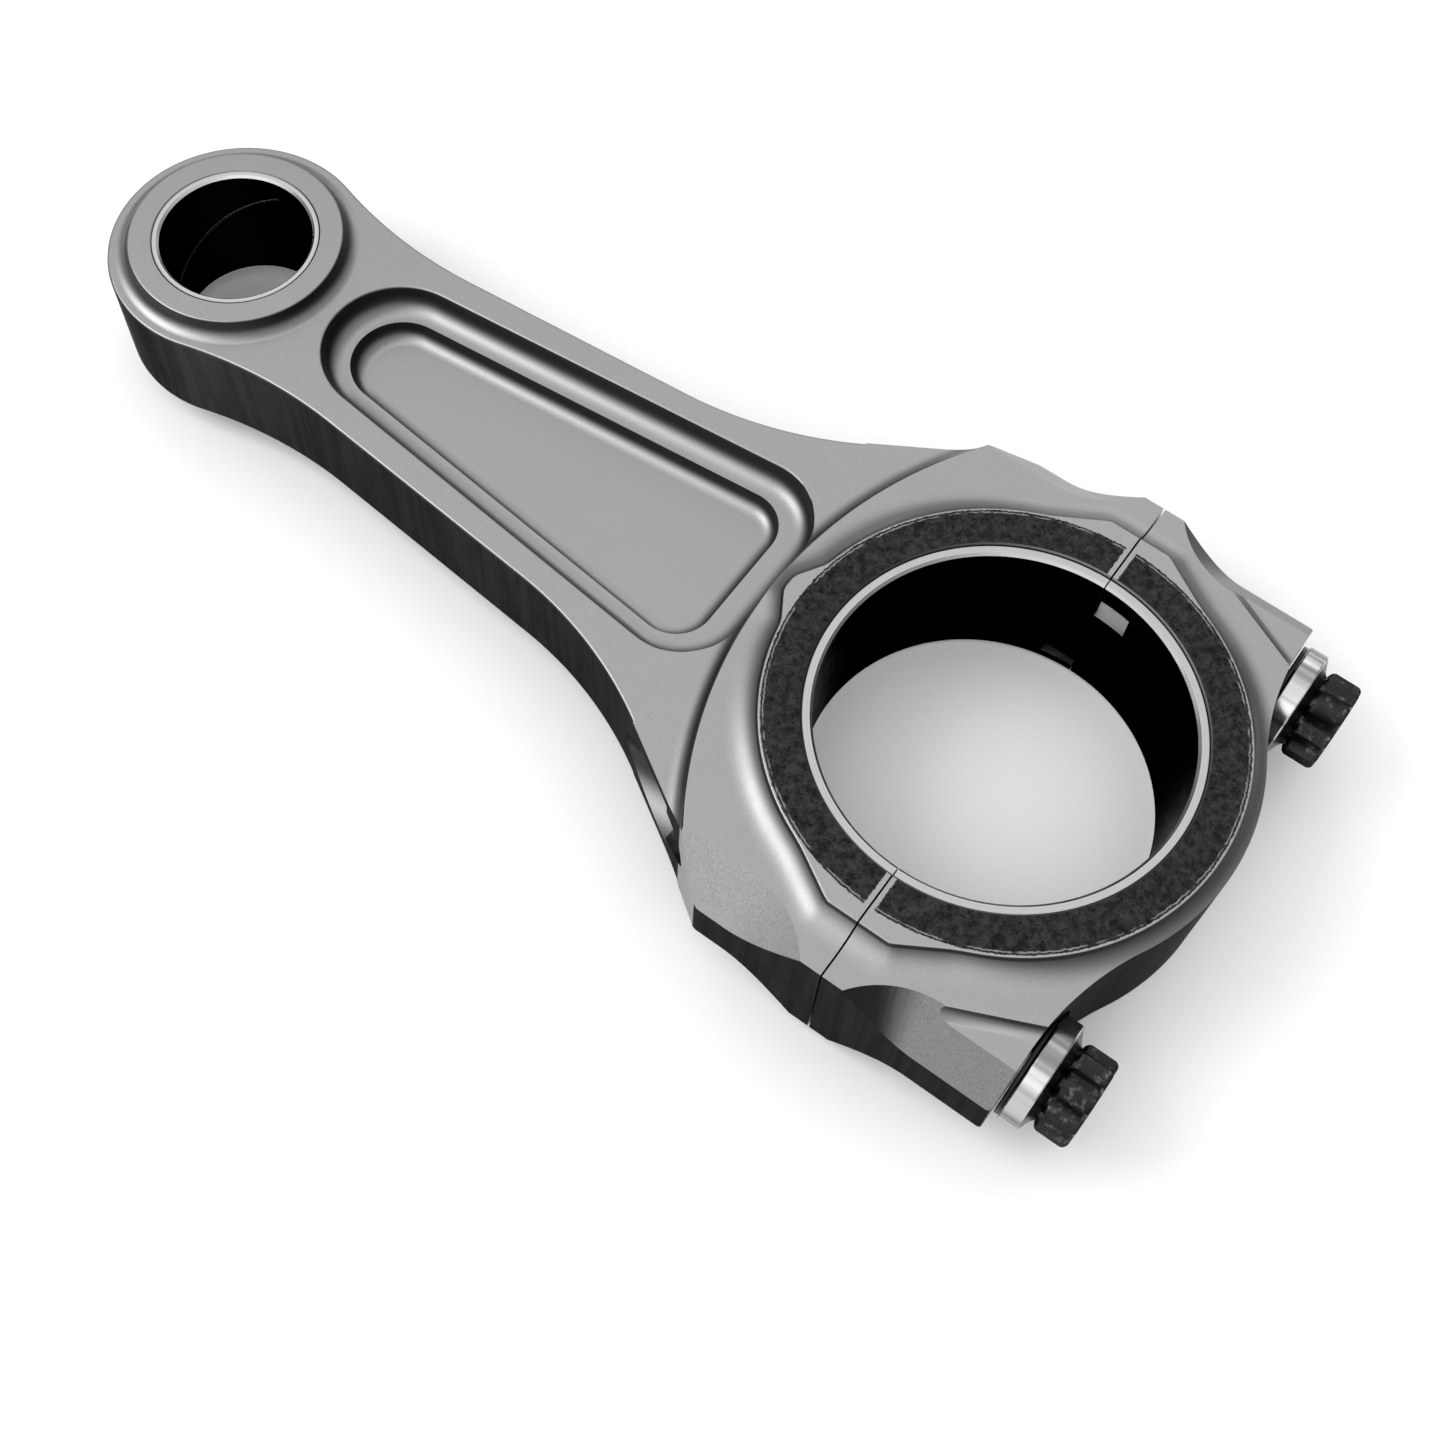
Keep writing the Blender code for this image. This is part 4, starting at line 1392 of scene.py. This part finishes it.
    def build(self) -> bpy.types.Object:
        """Builds the rod.

        Returns:
            The finished object.
        """
        plan, places = self.plan, self.plan.places
        outline = both_sides(self.half_outline())
        blank = Blank("rod_beam", loft([at_height(outline, -places.big_top),
                                        at_height(outline, places.big_top)]))
        blank.shape(self.shank_clearance())
        blank.shape(plan.boss_clearance())
        blank.shape(plan.facets(1.0))
        blank.shape(self.broken_edge())
        blank.shape(self.small_boss(), Cut.ADD)
        blank.shape(self.pockets())
        blank.shape(plan.bored(places.small_bore + plan.bore_gap, self.boss_top, 0.0, 160))
        blank.shape(plan.housing_bore())
        relief = places.big_end_x - self.relief_reach
        blank.shape(plan.along_bolts(relief - OVERCUT, places.big_end_x + OVERCUT, plan.bolt_hole))
        blank.shape(plan.along_bolts(relief - self.relief_length, relief, self.relief_radius))
        blank.shape(plan.tang_notch(-1.0, ROD_TANG))
        return dress(blank.carved(), ForgingFinishes(plan).materials("rod"), self.surface,
                     places.home, "rod", "rod_body")


@dataclass(frozen=True)
class RodCap:
    """The bolted half of the big end, with its rounded lugs and bolt seats."""

    plan: BigEndPlan
    seat_depth: float = 0.0002
    seat_play: float = 0.00003
    back_wall: float = 0.0016
    back_blend: float = 0.0330
    corner_radius: float = 0.0005
    spot_radius: float = 0.0070
    recess_depth: float = 0.0012
    recess_fillet: float = 0.0020
    recess_length: float = 0.0092
    recess_reach: float = 0.0013

    @property
    def seat_x(self) -> float:
        """Level of the cap round the spot faces."""
        return self.plan.places.seat_x - self.seat_depth

    def half_outline(self) -> list[Point]:
        """The +Y edge in plan, from the parting face to the middle of the back."""
        places = self.plan.places
        radius = self.plan.boss_radius + self.back_wall
        blend_x = self.seat_x - places.big_end_x + self.back_blend
        blend_y = math.sqrt((radius + self.back_blend) ** 2 - blend_x ** 2)
        touch = math.atan2(blend_y, blend_x)
        start = (places.big_end_x + self.plan.parting_gap / 2, places.half_span)
        corner = (self.seat_x, places.half_span)
        points = [start, *rounded_corner(start, corner, (self.seat_x, blend_y),
                                         self.corner_radius, 6)]
        centre = (places.big_end_x + blend_x, blend_y)
        points += arc(centre, self.back_blend, math.pi, math.pi + touch, 24)
        return points + arc((places.big_end_x, 0.0), radius, touch, 0.0, 32)[1:]

    def seat_recesses(self) -> bmesh.types.BMesh:
        """Recesses over the bolt seats, each with a flat floor and one slanting filleted wall."""
        plan, places = self.plan, self.plan.places
        left_x, right_x = self.seat_x - self.recess_length, self.seat_x + OVERCUT
        slant = (places.bolt_offset - self.recess_reach - plan.facet_y) / self.recess_length
        lean = math.hypot(1.0, slant)
        floor, edge = plan.shoulder_top - self.recess_depth, plan.edge / 2
        levels = [(offset, floor + rise)
                  for offset, rise in concave(self.recess_fillet, self.recess_depth - edge, 10)]
        levels += [(-inset, plan.shoulder_top - drop) for inset, drop in edge_round(edge)[1:]]
        levels.append((-edge, places.big_top + OVERCUT))
        start_x, far_y = left_x - OVERCUT, places.half_span + OVERCUT
        rings = []
        for offset, z in levels:
            wall = [(x, plan.facet_y + slant * (x - left_x) + offset * lean)
                    for x in (start_x, right_x)]
            rings.append(at_height([*wall, (right_x, far_y), (start_x, far_y)], z))
        return with_mirror(loft(rings), 1, 2)

    def surface(self, centre: Vector, normal: Vector) -> int:
        """Tells which finish a face of the cap wears.

        Args:
            centre: Centre of the face.
            normal: Its normal.

        Returns:
            The number of the finish.
        """
        plan, places = self.plan, self.plan.places
        from_big = math.hypot(centre.x - places.big_end_x, centre.y)
        from_bolt = math.hypot(abs(centre.y) - places.bolt_offset, centre.z)
        in_bore = from_big < plan.housing + NEAR_WALL or from_bolt < plan.bolt_hole + NEAR_HOLE
        shared = shared_surface(plan, centre, normal, in_bore and abs(normal.z) < LEVEL)
        if shared is not None:
            return shared.value
        seat = normal.x > LEVEL and centre.x < places.seat_x + self.seat_depth
        if abs(normal.z) < STEEP and abs(centre.z) < plan.shoulder_top and not seat:
            return Surface.FLANK.value
        return Surface.BEADED.value

    def build(self) -> bpy.types.Object:
        """Builds the cap.

        Returns:
            The finished object.
        """
        plan, places = self.plan, self.plan.places
        outline = both_sides(self.half_outline())
        blank = Blank("rod_cap", loft([at_height(outline, -places.big_top),
                                       at_height(outline, places.big_top)]))
        blank.shape(plan.boss_clearance())
        blank.shape(plan.facets(-1.0))
        blank.shape(self.seat_recesses())
        blank.shape(plan.along_bolts(places.seat_x - self.seat_play, places.head_end_x,
                                     self.spot_radius))
        blank.shape(plan.housing_bore())
        blank.shape(plan.along_bolts(places.big_end_x - OVERCUT, self.seat_x + OVERCUT,
                                     plan.bolt_hole))
        blank.shape(plan.tang_notch(1.0, CAP_TANG))
        # The cap's facets get a lower tone share, as painted shade.
        finishes = ForgingFinishes(plan, facet_painted_light=0.70).materials("cap")
        return dress(blank.carved(), finishes, self.surface, places.home, "cap",
                     "big_end_cap")


@dataclass(frozen=True)
class BearingShell:
    """Half shell with a plated running face, bright edges and a pressed tang."""

    places: Places
    name: str
    stands_for: str
    body: str
    toward: float
    tang: Tang
    wall: float = 0.0012
    half_width: float = 0.01015
    chamfer: float = 0.0003
    back_chamfer: float = 0.0001
    parting_gap: float = 0.00008
    bare_hollow: bool = True
    running_slack: float = 0.00005

    def half_ring(self) -> bmesh.types.BMesh:
        """The half ring, cut at the parting line."""
        places, top = self.places, self.half_width
        outer, inner = places.shell_radius, places.shell_radius - self.wall
        profile = with_lower_half([
            (inner, 0.0), (inner, top - self.chamfer), (inner + self.chamfer, top),
            (outer - self.back_chamfer, top), (outer, top - self.back_chamfer)])
        bm = shifted(turned(profile, 192), (places.big_end_x, 0.0, 0.0))
        cut = bmesh.ops.bisect_plane(
            bm, geom=bm.verts[:] + bm.edges[:] + bm.faces[:], dist=1e-7,
            plane_co=(places.big_end_x + self.toward * self.parting_gap, 0.0, 0.0),
            plane_no=(-self.toward, 0.0, 0.0), clear_outer=True)
        rim = [item for item in cut["geom_cut"] if isinstance(item, bmesh.types.BMEdge)]
        bmesh.ops.edgenet_fill(bm, edges=rim)
        bmesh.ops.recalc_face_normals(bm, faces=bm.faces[:])
        return bm

    def surface(self, centre: Vector, normal: Vector) -> int:
        """Tells the running face from the bare steel.

        Args:
            centre: Centre of the face.
            normal: Its normal.

        Returns:
            1 for the running face and 0 for the steel.
        """
        outward = Vector((centre.x - self.places.big_end_x, centre.y, 0.0))
        inner = self.places.shell_radius - self.wall
        depth = self.running_slack if self.bare_hollow else self.wall
        running = outward.length < inner + depth and normal.dot(outward) < 0.0
        return 1 if running and abs(normal.z) < 0.3 else 0

    def build(self) -> bpy.types.Object:
        """Builds the shell.

        Returns:
            The finished object.
        """
        places, tang = self.places, self.tang
        inner = places.shell_radius - self.wall
        blank = Blank(self.name, self.half_ring())
        blank.shape(tang.block(places, self.toward, self.parting_gap, 0.0,
                               inner + self.wall / 2, places.shell_radius + tang.rise), Cut.ADD)
        blank.shape(tang.block(places, self.toward, -OVERCUT, -tang.hollow_inset,
                               inner - OVERCUT, inner + tang.hollow_depth))
        home = places.home
        centre = (home.x + places.big_end_x, home.y, home.z)
        steel = TurnedMetal(f"{self.name}_steel", 0.40, 0.30, ALONG_Z, centre)
        # The running face is coloured near-black, with a weak edge tint, as painted shade inside the
        # big-end bore.
        painted_shade_running_face = TurnedMetal(f"{self.name}_overlay", 0.005, 0.30, ALONG_Z, centre, ring=0.25,
                              ring_scale=6000.0, edge_tint=0.12)
        return dress(blank.carved(), [steel.material(), painted_shade_running_face.material()], self.surface, home,
                     self.body, self.stands_for)


@dataclass(frozen=True)
class PinBush:
    """Thin bush of the small end, with a winding oil groove."""

    places: Places
    wall: float = 0.00075
    top: float = 0.00858
    chamfer: float = 0.00028
    groove_radius: float = 0.00032
    groove_low: Point = (205.0, -0.0024)
    groove_high: Point = (100.0, 0.0054)
    groove_sweep: float = 1.15

    def tube_along(self, route: Sequence[Point], radius: float) -> bmesh.types.BMesh:
        """A round body that follows the bore.

        Args:
            route: (angle in radians, height) points on the bore.
            radius: Radius of the body.

        Returns:
            The body.
        """
        bore = self.places.small_bore - self.wall
        spots = [Vector((bore * math.cos(a), bore * math.sin(a), z)) for a, z in route]
        sections = []
        for i, spot in enumerate(spots):
            along = (spots[min(i + 1, len(spots) - 1)] - spots[max(i - 1, 0)]).normalized()
            out = Vector((spot.x, spot.y, 0.0)).normalized()
            side = along.cross(out).normalized()
            sections.append([spot + radius * (math.cos(t) * out + math.sin(t) * side)
                             for t in (math.tau * k / 12 for k in range(12))])
        return loft(sections)

    def oil_groove(self) -> bmesh.types.BMesh:
        """The winding groove."""
        (start, low), (end, high) = self.groove_low, self.groove_high
        route = [(math.radians(start + (end - start) * t),
                  low + (high - low) * t ** self.groove_sweep)
                 for t in (i / 60 for i in range(61))]
        return self.tube_along(route, self.groove_radius)

    def surface(self, centre: Vector, normal: Vector) -> int:
        """Tells the running bore from the bright rim.

        Args:
            centre: Centre of the face.
            normal: Its normal; not used.

        Returns:
            1 for the bore and 0 for the rim.
        """
        floor = self.places.small_bore - self.wall + 0.9 * self.groove_radius
        inside = math.hypot(centre.x, centre.y) < floor
        return 1 if inside and abs(centre.z) < self.top - self.chamfer else 0

    def build(self) -> bpy.types.Object:
        """Builds the bush.

        Returns:
            The finished object.
        """
        outer, inner = self.places.small_bore, self.places.small_bore - self.wall
        profile = with_lower_half([
            (inner, 0.0), (inner, self.top - self.chamfer), (inner + self.chamfer, self.top),
            (outer, self.top)])
        blank = Blank("pin_bush", turned(profile, 160))
        blank.shape(self.oil_groove())
        seam = [(math.radians(177.0), -0.0009 - 0.0053 * i / 4) for i in range(5)]
        blank.shape(self.tube_along(seam, self.groove_radius / 2))
        centre = tuple(self.places.home)
        rim = TurnedMetal("bush_rim", 0.46, 0.28, ALONG_Z, centre)
        # The bore is coloured near-black, with a weak edge tint, as painted shade inside the small
        # end.
        bore = TurnedMetal("bush_bore", 0.006, 0.22, ALONG_Z, centre, ring=0.3,
                           ring_scale=5000.0, edge_tint=0.15)
        return dress(blank.carved(), [rim.material(), bore.material()], self.surface,
                     self.places.home, "rod", "small_end_bush")


class BoltSurface(Enum):
    """Finishes of a cap bolt, in the order of its material slots."""

    SHANK = 0
    FLANGE = 1
    HEAD = 2
    THREAD = 3


@dataclass(frozen=True)
class CapBolt:
    """Flanged twelve-point bolt with a waisted shank, a locating land and a rolled thread."""

    places: Places
    side_name: str
    side: float
    radius: float = 0.0035
    neck: float = 0.0031
    land: float = 0.0070
    thread_root: float = 0.00283
    pitch: float = 0.00125
    tip_chamfer: float = 0.0008
    flange_radius: float = 0.0065
    flange_top: float = 0.0024
    flange_edge: float = 0.00025
    neck_of_head: float = 0.0044
    cone_height: float = 0.0010
    head_radius: float = 0.0054
    flute_depth: float = 0.00095
    flute_shape: float = 0.8
    head_edge: float = 0.0007
    head_foot: tuple[Point3, ...] = ((0.0007, 0.4, 0.0), (0.0002, 0.9, 0.00025),
                                     (0.0, 1.0, 0.0006))
    dimple_radius: float = 0.0017
    dimple_depth: float = 0.0008
    dimple_lip: Point = (0.0003, 0.00012)
    cone_flare: float = 0.0006
    tip_break: Point = (0.0003, 0.0004)
    thread_play: float = 0.0001
    head_steps: int = 192
    thread_steps: int = 48

    @property
    def head_top(self) -> float:
        """End of the head, above the underside of the flange."""
        return self.places.head_end_x - self.flange_base

    @property
    def flange_base(self) -> float:
        """Underside of the flange along X; a hair from the washer."""
        return self.places.bolt_seat_x + 0.00005

    @property
    def thread_end(self) -> float:
        """Where the thread runs out under the locating land."""
        land_start = self.places.big_end_x - self.flange_base - self.land / 2
        return land_start - 3 * (self.radius - self.neck)

    @property
    def tip(self) -> float:
        """Tip of the bolt, below the underside of the flange."""
        return self.places.bolt_tip_x - self.flange_base

    def turned_body(self) -> bmesh.types.BMesh:
        """Shank, land, flange and cone in one turned body."""
        parting = self.places.big_end_x - self.flange_base
        ease = self.radius - self.neck
        inset, rise = self.tip_break
        profile = [(0.0, self.tip), (self.thread_root - inset, self.tip),
                   (self.thread_root, self.tip + rise), (self.thread_root, self.thread_end),
                   (self.neck, self.thread_end + ease),
                   (self.neck, parting - self.land / 2 - ease),
                   (self.radius, parting - self.land / 2), (self.radius, parting + self.land / 2),
                   (self.neck, parting + self.land / 2 + ease)]
        profile += [(self.neck + ease * (1 - math.cos(t)), -ease * (1 - math.sin(t)))
                    for t in (math.pi / 2 * i / 4 for i in range(5))]
        profile += rounded_rim(self.flange_radius, 0.0, self.flange_top, self.flange_edge)
        profile += [(self.neck_of_head + self.cone_flare,
                     self.flange_top + 0.55 * self.cone_height),
                    (self.neck_of_head, self.flange_top + self.cone_height),
                    (self.neck_of_head, self.flange_top + 2 * self.cone_height),
                    (0.0, self.flange_top + 2 * self.cone_height)]
        return turned(profile, 128, along_x=True)

    def thread(self) -> bmesh.types.BMesh:
        """The rolled thread as one closed helical body."""
        steps = self.thread_steps
        turns = math.ceil((self.thread_end - self.tip) / self.pitch) + 1
        low = self.tip - self.pitch
        profile = [(self.thread_root, 0.0), (self.thread_root, 0.12), (self.radius, 0.46),
                   (self.radius, 0.58), (self.thread_root, 0.92), (self.thread_root, 1.0)]
        bm = bmesh.new()
        verts = [bm.verts.new((r, 0.0, low + self.pitch * share)) for r, share in profile]
        edges = [bm.edges.new(pair) for pair in zip(verts, verts[1:])]
        bmesh.ops.spin(bm, geom=verts + edges, cent=(0, 0, 0), axis=(0, 0, 1),
                       dvec=(0, 0, self.pitch / steps), angle=math.tau * turns,
                       steps=steps * turns, use_merge=False, use_duplicate=False)
        bmesh.ops.remove_doubles(bm, verts=bm.verts[:], dist=SLIVER)
        for end in (low + self.pitch / 2, low + self.pitch * (turns + 0.5)):
            rim = [e for e in bm.edges if len(e.link_faces) == 1
                   and abs(e.verts[0].co.z - end) < self.pitch]
            grown = bmesh.ops.extrude_edge_only(bm, edges=rim)["geom"]
            tips = [item for item in grown if isinstance(item, bmesh.types.BMVert)]
            bmesh.ops.pointmerge(bm, verts=tips, merge_co=(0.0, 0.0, end))
        bmesh.ops.recalc_face_normals(bm, faces=bm.faces[:])
        bmesh.ops.rotate(bm, verts=bm.verts[:], cent=(0, 0, 0),
                         matrix=Matrix.Rotation(math.pi / 2, 3, "Y"))
        return bm

    def thread_limits(self) -> bmesh.types.BMesh:
        """The chamfered stretch that the thread is kept to."""
        end, tip, play = self.thread_end, self.tip, self.thread_play
        profile = [(0.0, tip + play), (self.radius - self.tip_chamfer, tip + play),
                   (self.radius + play, tip + self.tip_chamfer + 2 * play),
                   (self.radius + play, end - 4 * play),
                   (self.thread_root - play, end + 3 * play), (0.0, end + 3 * play)]
        return turned(profile, 96, along_x=True)

    def fluted(self, radius: float, depth: float, level: float) -> list[Point3]:
        """Ring of the twelve-point head.

        Args:
            radius: Radius over the points.
            depth: Depth of the flutes between them.
            level: Place of the ring along X.

        Returns:
            The points of the ring.
        """
        ring = []
        for i in range(self.head_steps):
            angle = math.tau * i / self.head_steps
            wave = abs(math.sin(6 * angle)) ** self.flute_shape
            reach = radius - depth * wave
            ring.append((level, reach * math.cos(angle), reach * math.sin(angle)))
        return ring

    def head(self) -> bmesh.types.BMesh:
        """The twelve-point head with rounded ends and a dimple."""
        base = self.flange_top + self.cone_height
        top = self.head_top
        rings = [self.fluted(self.neck_of_head - self.cone_flare, 0.0, base - 0.0002)]
        rings += [self.fluted(self.head_radius - inset, self.flute_depth * share, base + rise)
                  for inset, share, rise in self.head_foot]
        for inset, drop in edge_round(self.head_edge, 6):
            share = 1.0 - 0.55 * inset / self.head_edge
            rings.append(self.fluted(self.head_radius - inset, self.flute_depth * share,
                                     top - drop))
        rings += [self.fluted(self.dimple_radius + self.dimple_lip[0], 0.0, top),
                  self.fluted(self.dimple_radius, 0.0, top - self.dimple_lip[1]),
                  self.fluted(self.dimple_radius * 0.6, 0.0, top - self.dimple_depth * 0.8),
                  self.fluted(self.dimple_radius * 0.2, 0.0, top - self.dimple_depth)]
        return loft(rings)

    def surface(self, centre: Vector, normal: Vector) -> int:
        """Tells which finish a face of the bolt wears.

        Args:
            centre: Centre of the face.
            normal: Its normal; not used.

        Returns:
            The number of the finish.
        """
        level = centre.x - self.flange_base
        if level > self.flange_top - NEAR_HOLE / 2:
            return BoltSurface.HEAD.value
        if level > -HAIR:
            return BoltSurface.FLANGE.value
        threaded = level < self.thread_end + 2 * NEAR_HOLE
        return (BoltSurface.THREAD if threaded else BoltSurface.SHANK).value

    def build(self) -> bpy.types.Object:
        """Builds the bolt.

        Returns:
            The finished object.
        """
        name = f"twelve_point_bolt_{self.side_name}"
        rolled = Blank(f"{name}_thread", self.thread())
        rolled.shape(self.thread_limits(), Cut.KEEP_COMMON)
        thread = bmesh.new()
        thread.from_mesh(rolled.carved())
        bpy.data.objects.remove(rolled.object)
        blank = Blank(name, self.turned_body())
        blank.shape(thread, Cut.ADD)
        blank.shape(self.head(), Cut.ADD)
        mesh = blank.carved()
        bolt_y = self.side * self.places.bolt_offset
        mesh.transform(Matrix.Translation((self.flange_base, bolt_y, 0.0)))
        home = self.places.home
        centre = (home.x, home.y + bolt_y, home.z)
        finishes = [
            TurnedMetal(f"{name}_shank", 0.34, 0.26, ALONG_X, centre).material(),
            TurnedMetal(f"{name}_flange", 0.50, 0.22, ALONG_X, centre, ring=0.06,
                        axial_dark_bands=0.75).material(),
            TurnedMetal(f"{name}_head", 0.022, 0.30, ALONG_X, centre, wear=0.30).material(),
            TurnedMetal(f"{name}_thread", 0.16, 0.32, ALONG_X, centre).material(),
        ]
        return dress(mesh, finishes, self.surface, home, f"bolt_{self.side_name}",
                     f"cap_bolt_{self.side_name}")


@dataclass(frozen=True)
class BoltWasher:
    """Thin blackened washer under a bolt's flange."""

    places: Places
    side_name: str
    side: float
    bore: float = 0.0037
    edge: float = 0.00012

    def build(self) -> bpy.types.Object:
        """Builds the washer.

        Returns:
            The finished object.
        """
        places = self.places
        thick = places.washer_thickness
        rim = rounded_rim(places.washer_radius, 0.0, thick, self.edge)
        blank = Blank(f"thin_washer_{self.side_name}",
                      turned([(self.bore, 0.0), *rim, (self.bore, thick)], 96, along_x=True))
        mesh = blank.carved()
        mesh.transform(Matrix.Translation((places.seat_x, self.side * places.bolt_offset, 0.0)))
        home = places.home
        centre = (home.x, home.y + self.side * places.bolt_offset, home.z)
        black = TurnedMetal(f"washer_{self.side_name}_black", 0.022, 0.36, ALONG_X, centre)
        return dress(mesh, [black.material()], lambda _centre, _normal: 0, home,
                     f"washer_{self.side_name}", f"bolt_washer_{self.side_name}")


# ---------------------------------------------------------------- studio
@dataclass(frozen=True)
class Softbox:
    """A square area light that faces the rod."""

    name: str
    place: Point3
    size: float
    power: float

    def hang(self, target: Vector) -> None:
        """Puts the light in the studio.

        Args:
            target: What it faces.
        """
        light = bpy.data.lights.new(self.name, "AREA")
        light.size = self.size
        light.energy = self.power
        lamp = bpy.data.objects.new(self.name, light)
        lamp.location = self.place
        lamp.rotation_euler = (target - lamp.location).to_track_quat("-Z", "Y").to_euler()
        bpy.context.scene.collection.objects.link(lamp)


@dataclass(frozen=True)
class Studio:
    """Pale floor, soft light from above and the camera."""

    floor_tone: float = 0.80
    camera_place: Point3 = (0.07114, -0.09623, 0.20811)
    camera_aim: Point3 = (0.02118, -0.01409, 0.0105)
    camera_twist: float = math.radians(4.986)
    lens: float = 48.73
    zenith: float = 1.40
    horizon: float = 0.22
    glow: float = 0.9
    glow_toward: Point3 = (0.15, -0.93, 0.33)
    sky_band: Point = (0.15, 0.85)
    glow_band: Point = (0.55, 0.98)
    softboxes: tuple[Softbox, ...] = (
        Softbox("key_softbox", (-0.58, -0.34, 0.72), 0.50, 3.6),
        Softbox("fill_softbox", (-0.10, 0.80, 0.35), 0.45, 0.8),
    )

    def floor(self) -> None:
        """Lays the floor."""
        bm = bmesh.new()
        bmesh.ops.create_grid(bm, x_segments=1, y_segments=1, size=3.0)
        mesh = bpy.data.meshes.new("studio_floor")
        bm.to_mesh(mesh)
        bm.free()
        floor = bpy.data.objects.new("studio_floor", mesh)
        floor.location.z = CAD_BOX[0].z - 0.0001
        bpy.context.scene.collection.objects.link(floor)
        bench = Bench("pale_floor")
        bench.shader.inputs["Base Color"].default_value = (*grey(self.floor_tone), 1.0)
        mesh.materials.append(bench.done(0.0, Roughness=0.9))

    def sky(self) -> None:
        """Surrounds the rod with light that falls off toward the horizon."""
        world = bpy.data.worlds.new("studio_dome")
        world.use_nodes = True
        wiring = Wiring(world.node_tree)
        background = wiring.nodes["Background"].inputs
        background["Color"].default_value = (1.0, 1.0, 1.0, 1.0)
        split = wiring.add("ShaderNodeSeparateXYZ")
        directions = wiring.add("ShaderNodeTexCoord").outputs["Generated"]
        wiring.links.new(directions, split.inputs[0])
        dome = wiring.band(split.outputs[2], *self.sky_band, self.horizon, self.zenith)
        facing = wiring.vector_math("DOT_PRODUCT", directions, self.glow_toward)
        glow = wiring.band(facing, *self.glow_band, 0.0, self.glow)
        wiring.links.new(wiring.math("ADD", dome, glow), background["Strength"])
        bpy.context.scene.world = world

    def camera(self) -> None:
        """Sets up the camera."""
        data = bpy.data.cameras.new("studio_camera")
        data.lens = self.lens
        data.sensor_width = 36.0
        data.clip_start = 0.01
        camera = bpy.data.objects.new("studio_camera", data)
        place = Vector(self.camera_place)
        look = (Vector(self.camera_aim) - place).to_track_quat("-Z", "Y").to_matrix()
        turn = look @ Matrix.Rotation(self.camera_twist, 3, "Z")
        camera.matrix_world = Matrix.Translation(place) @ turn.to_4x4()
        bpy.context.scene.collection.objects.link(camera)
        bpy.context.scene.camera = camera

    def build(self) -> None:
        """Sets up the whole studio."""
        self.floor()
        self.sky()
        self.camera()
        target = Vector((0.0, 0.0, 0.01))
        for softbox in self.softboxes:
            softbox.hang(target)
        bpy.context.scene.view_settings.view_transform = "Standard"


def main() -> None:
    """Builds every piece of the rod and the studio round it."""
    logging.basicConfig(level=logging.INFO, format="%(name)s: %(message)s")
    places = Places.from_packed()
    plan = BigEndPlan(places)
    RodBeam(plan).build()
    RodCap(plan).build()
    BearingShell(places, "rod_side_shell", "upper_bearing_shell", "rod", -1.0, ROD_TANG,
                 bare_hollow=False).build()
    BearingShell(places, "cap_side_shell", "lower_bearing_shell", "cap", 1.0, CAP_TANG).build()
    PinBush(places).build()
    for side_name, side in (("left", 1.0), ("right", -1.0)):
        CapBolt(places, side_name, side).build()
        BoltWasher(places, side_name, side).build()
    Studio().build()


if __name__ == "__main__":
    main()
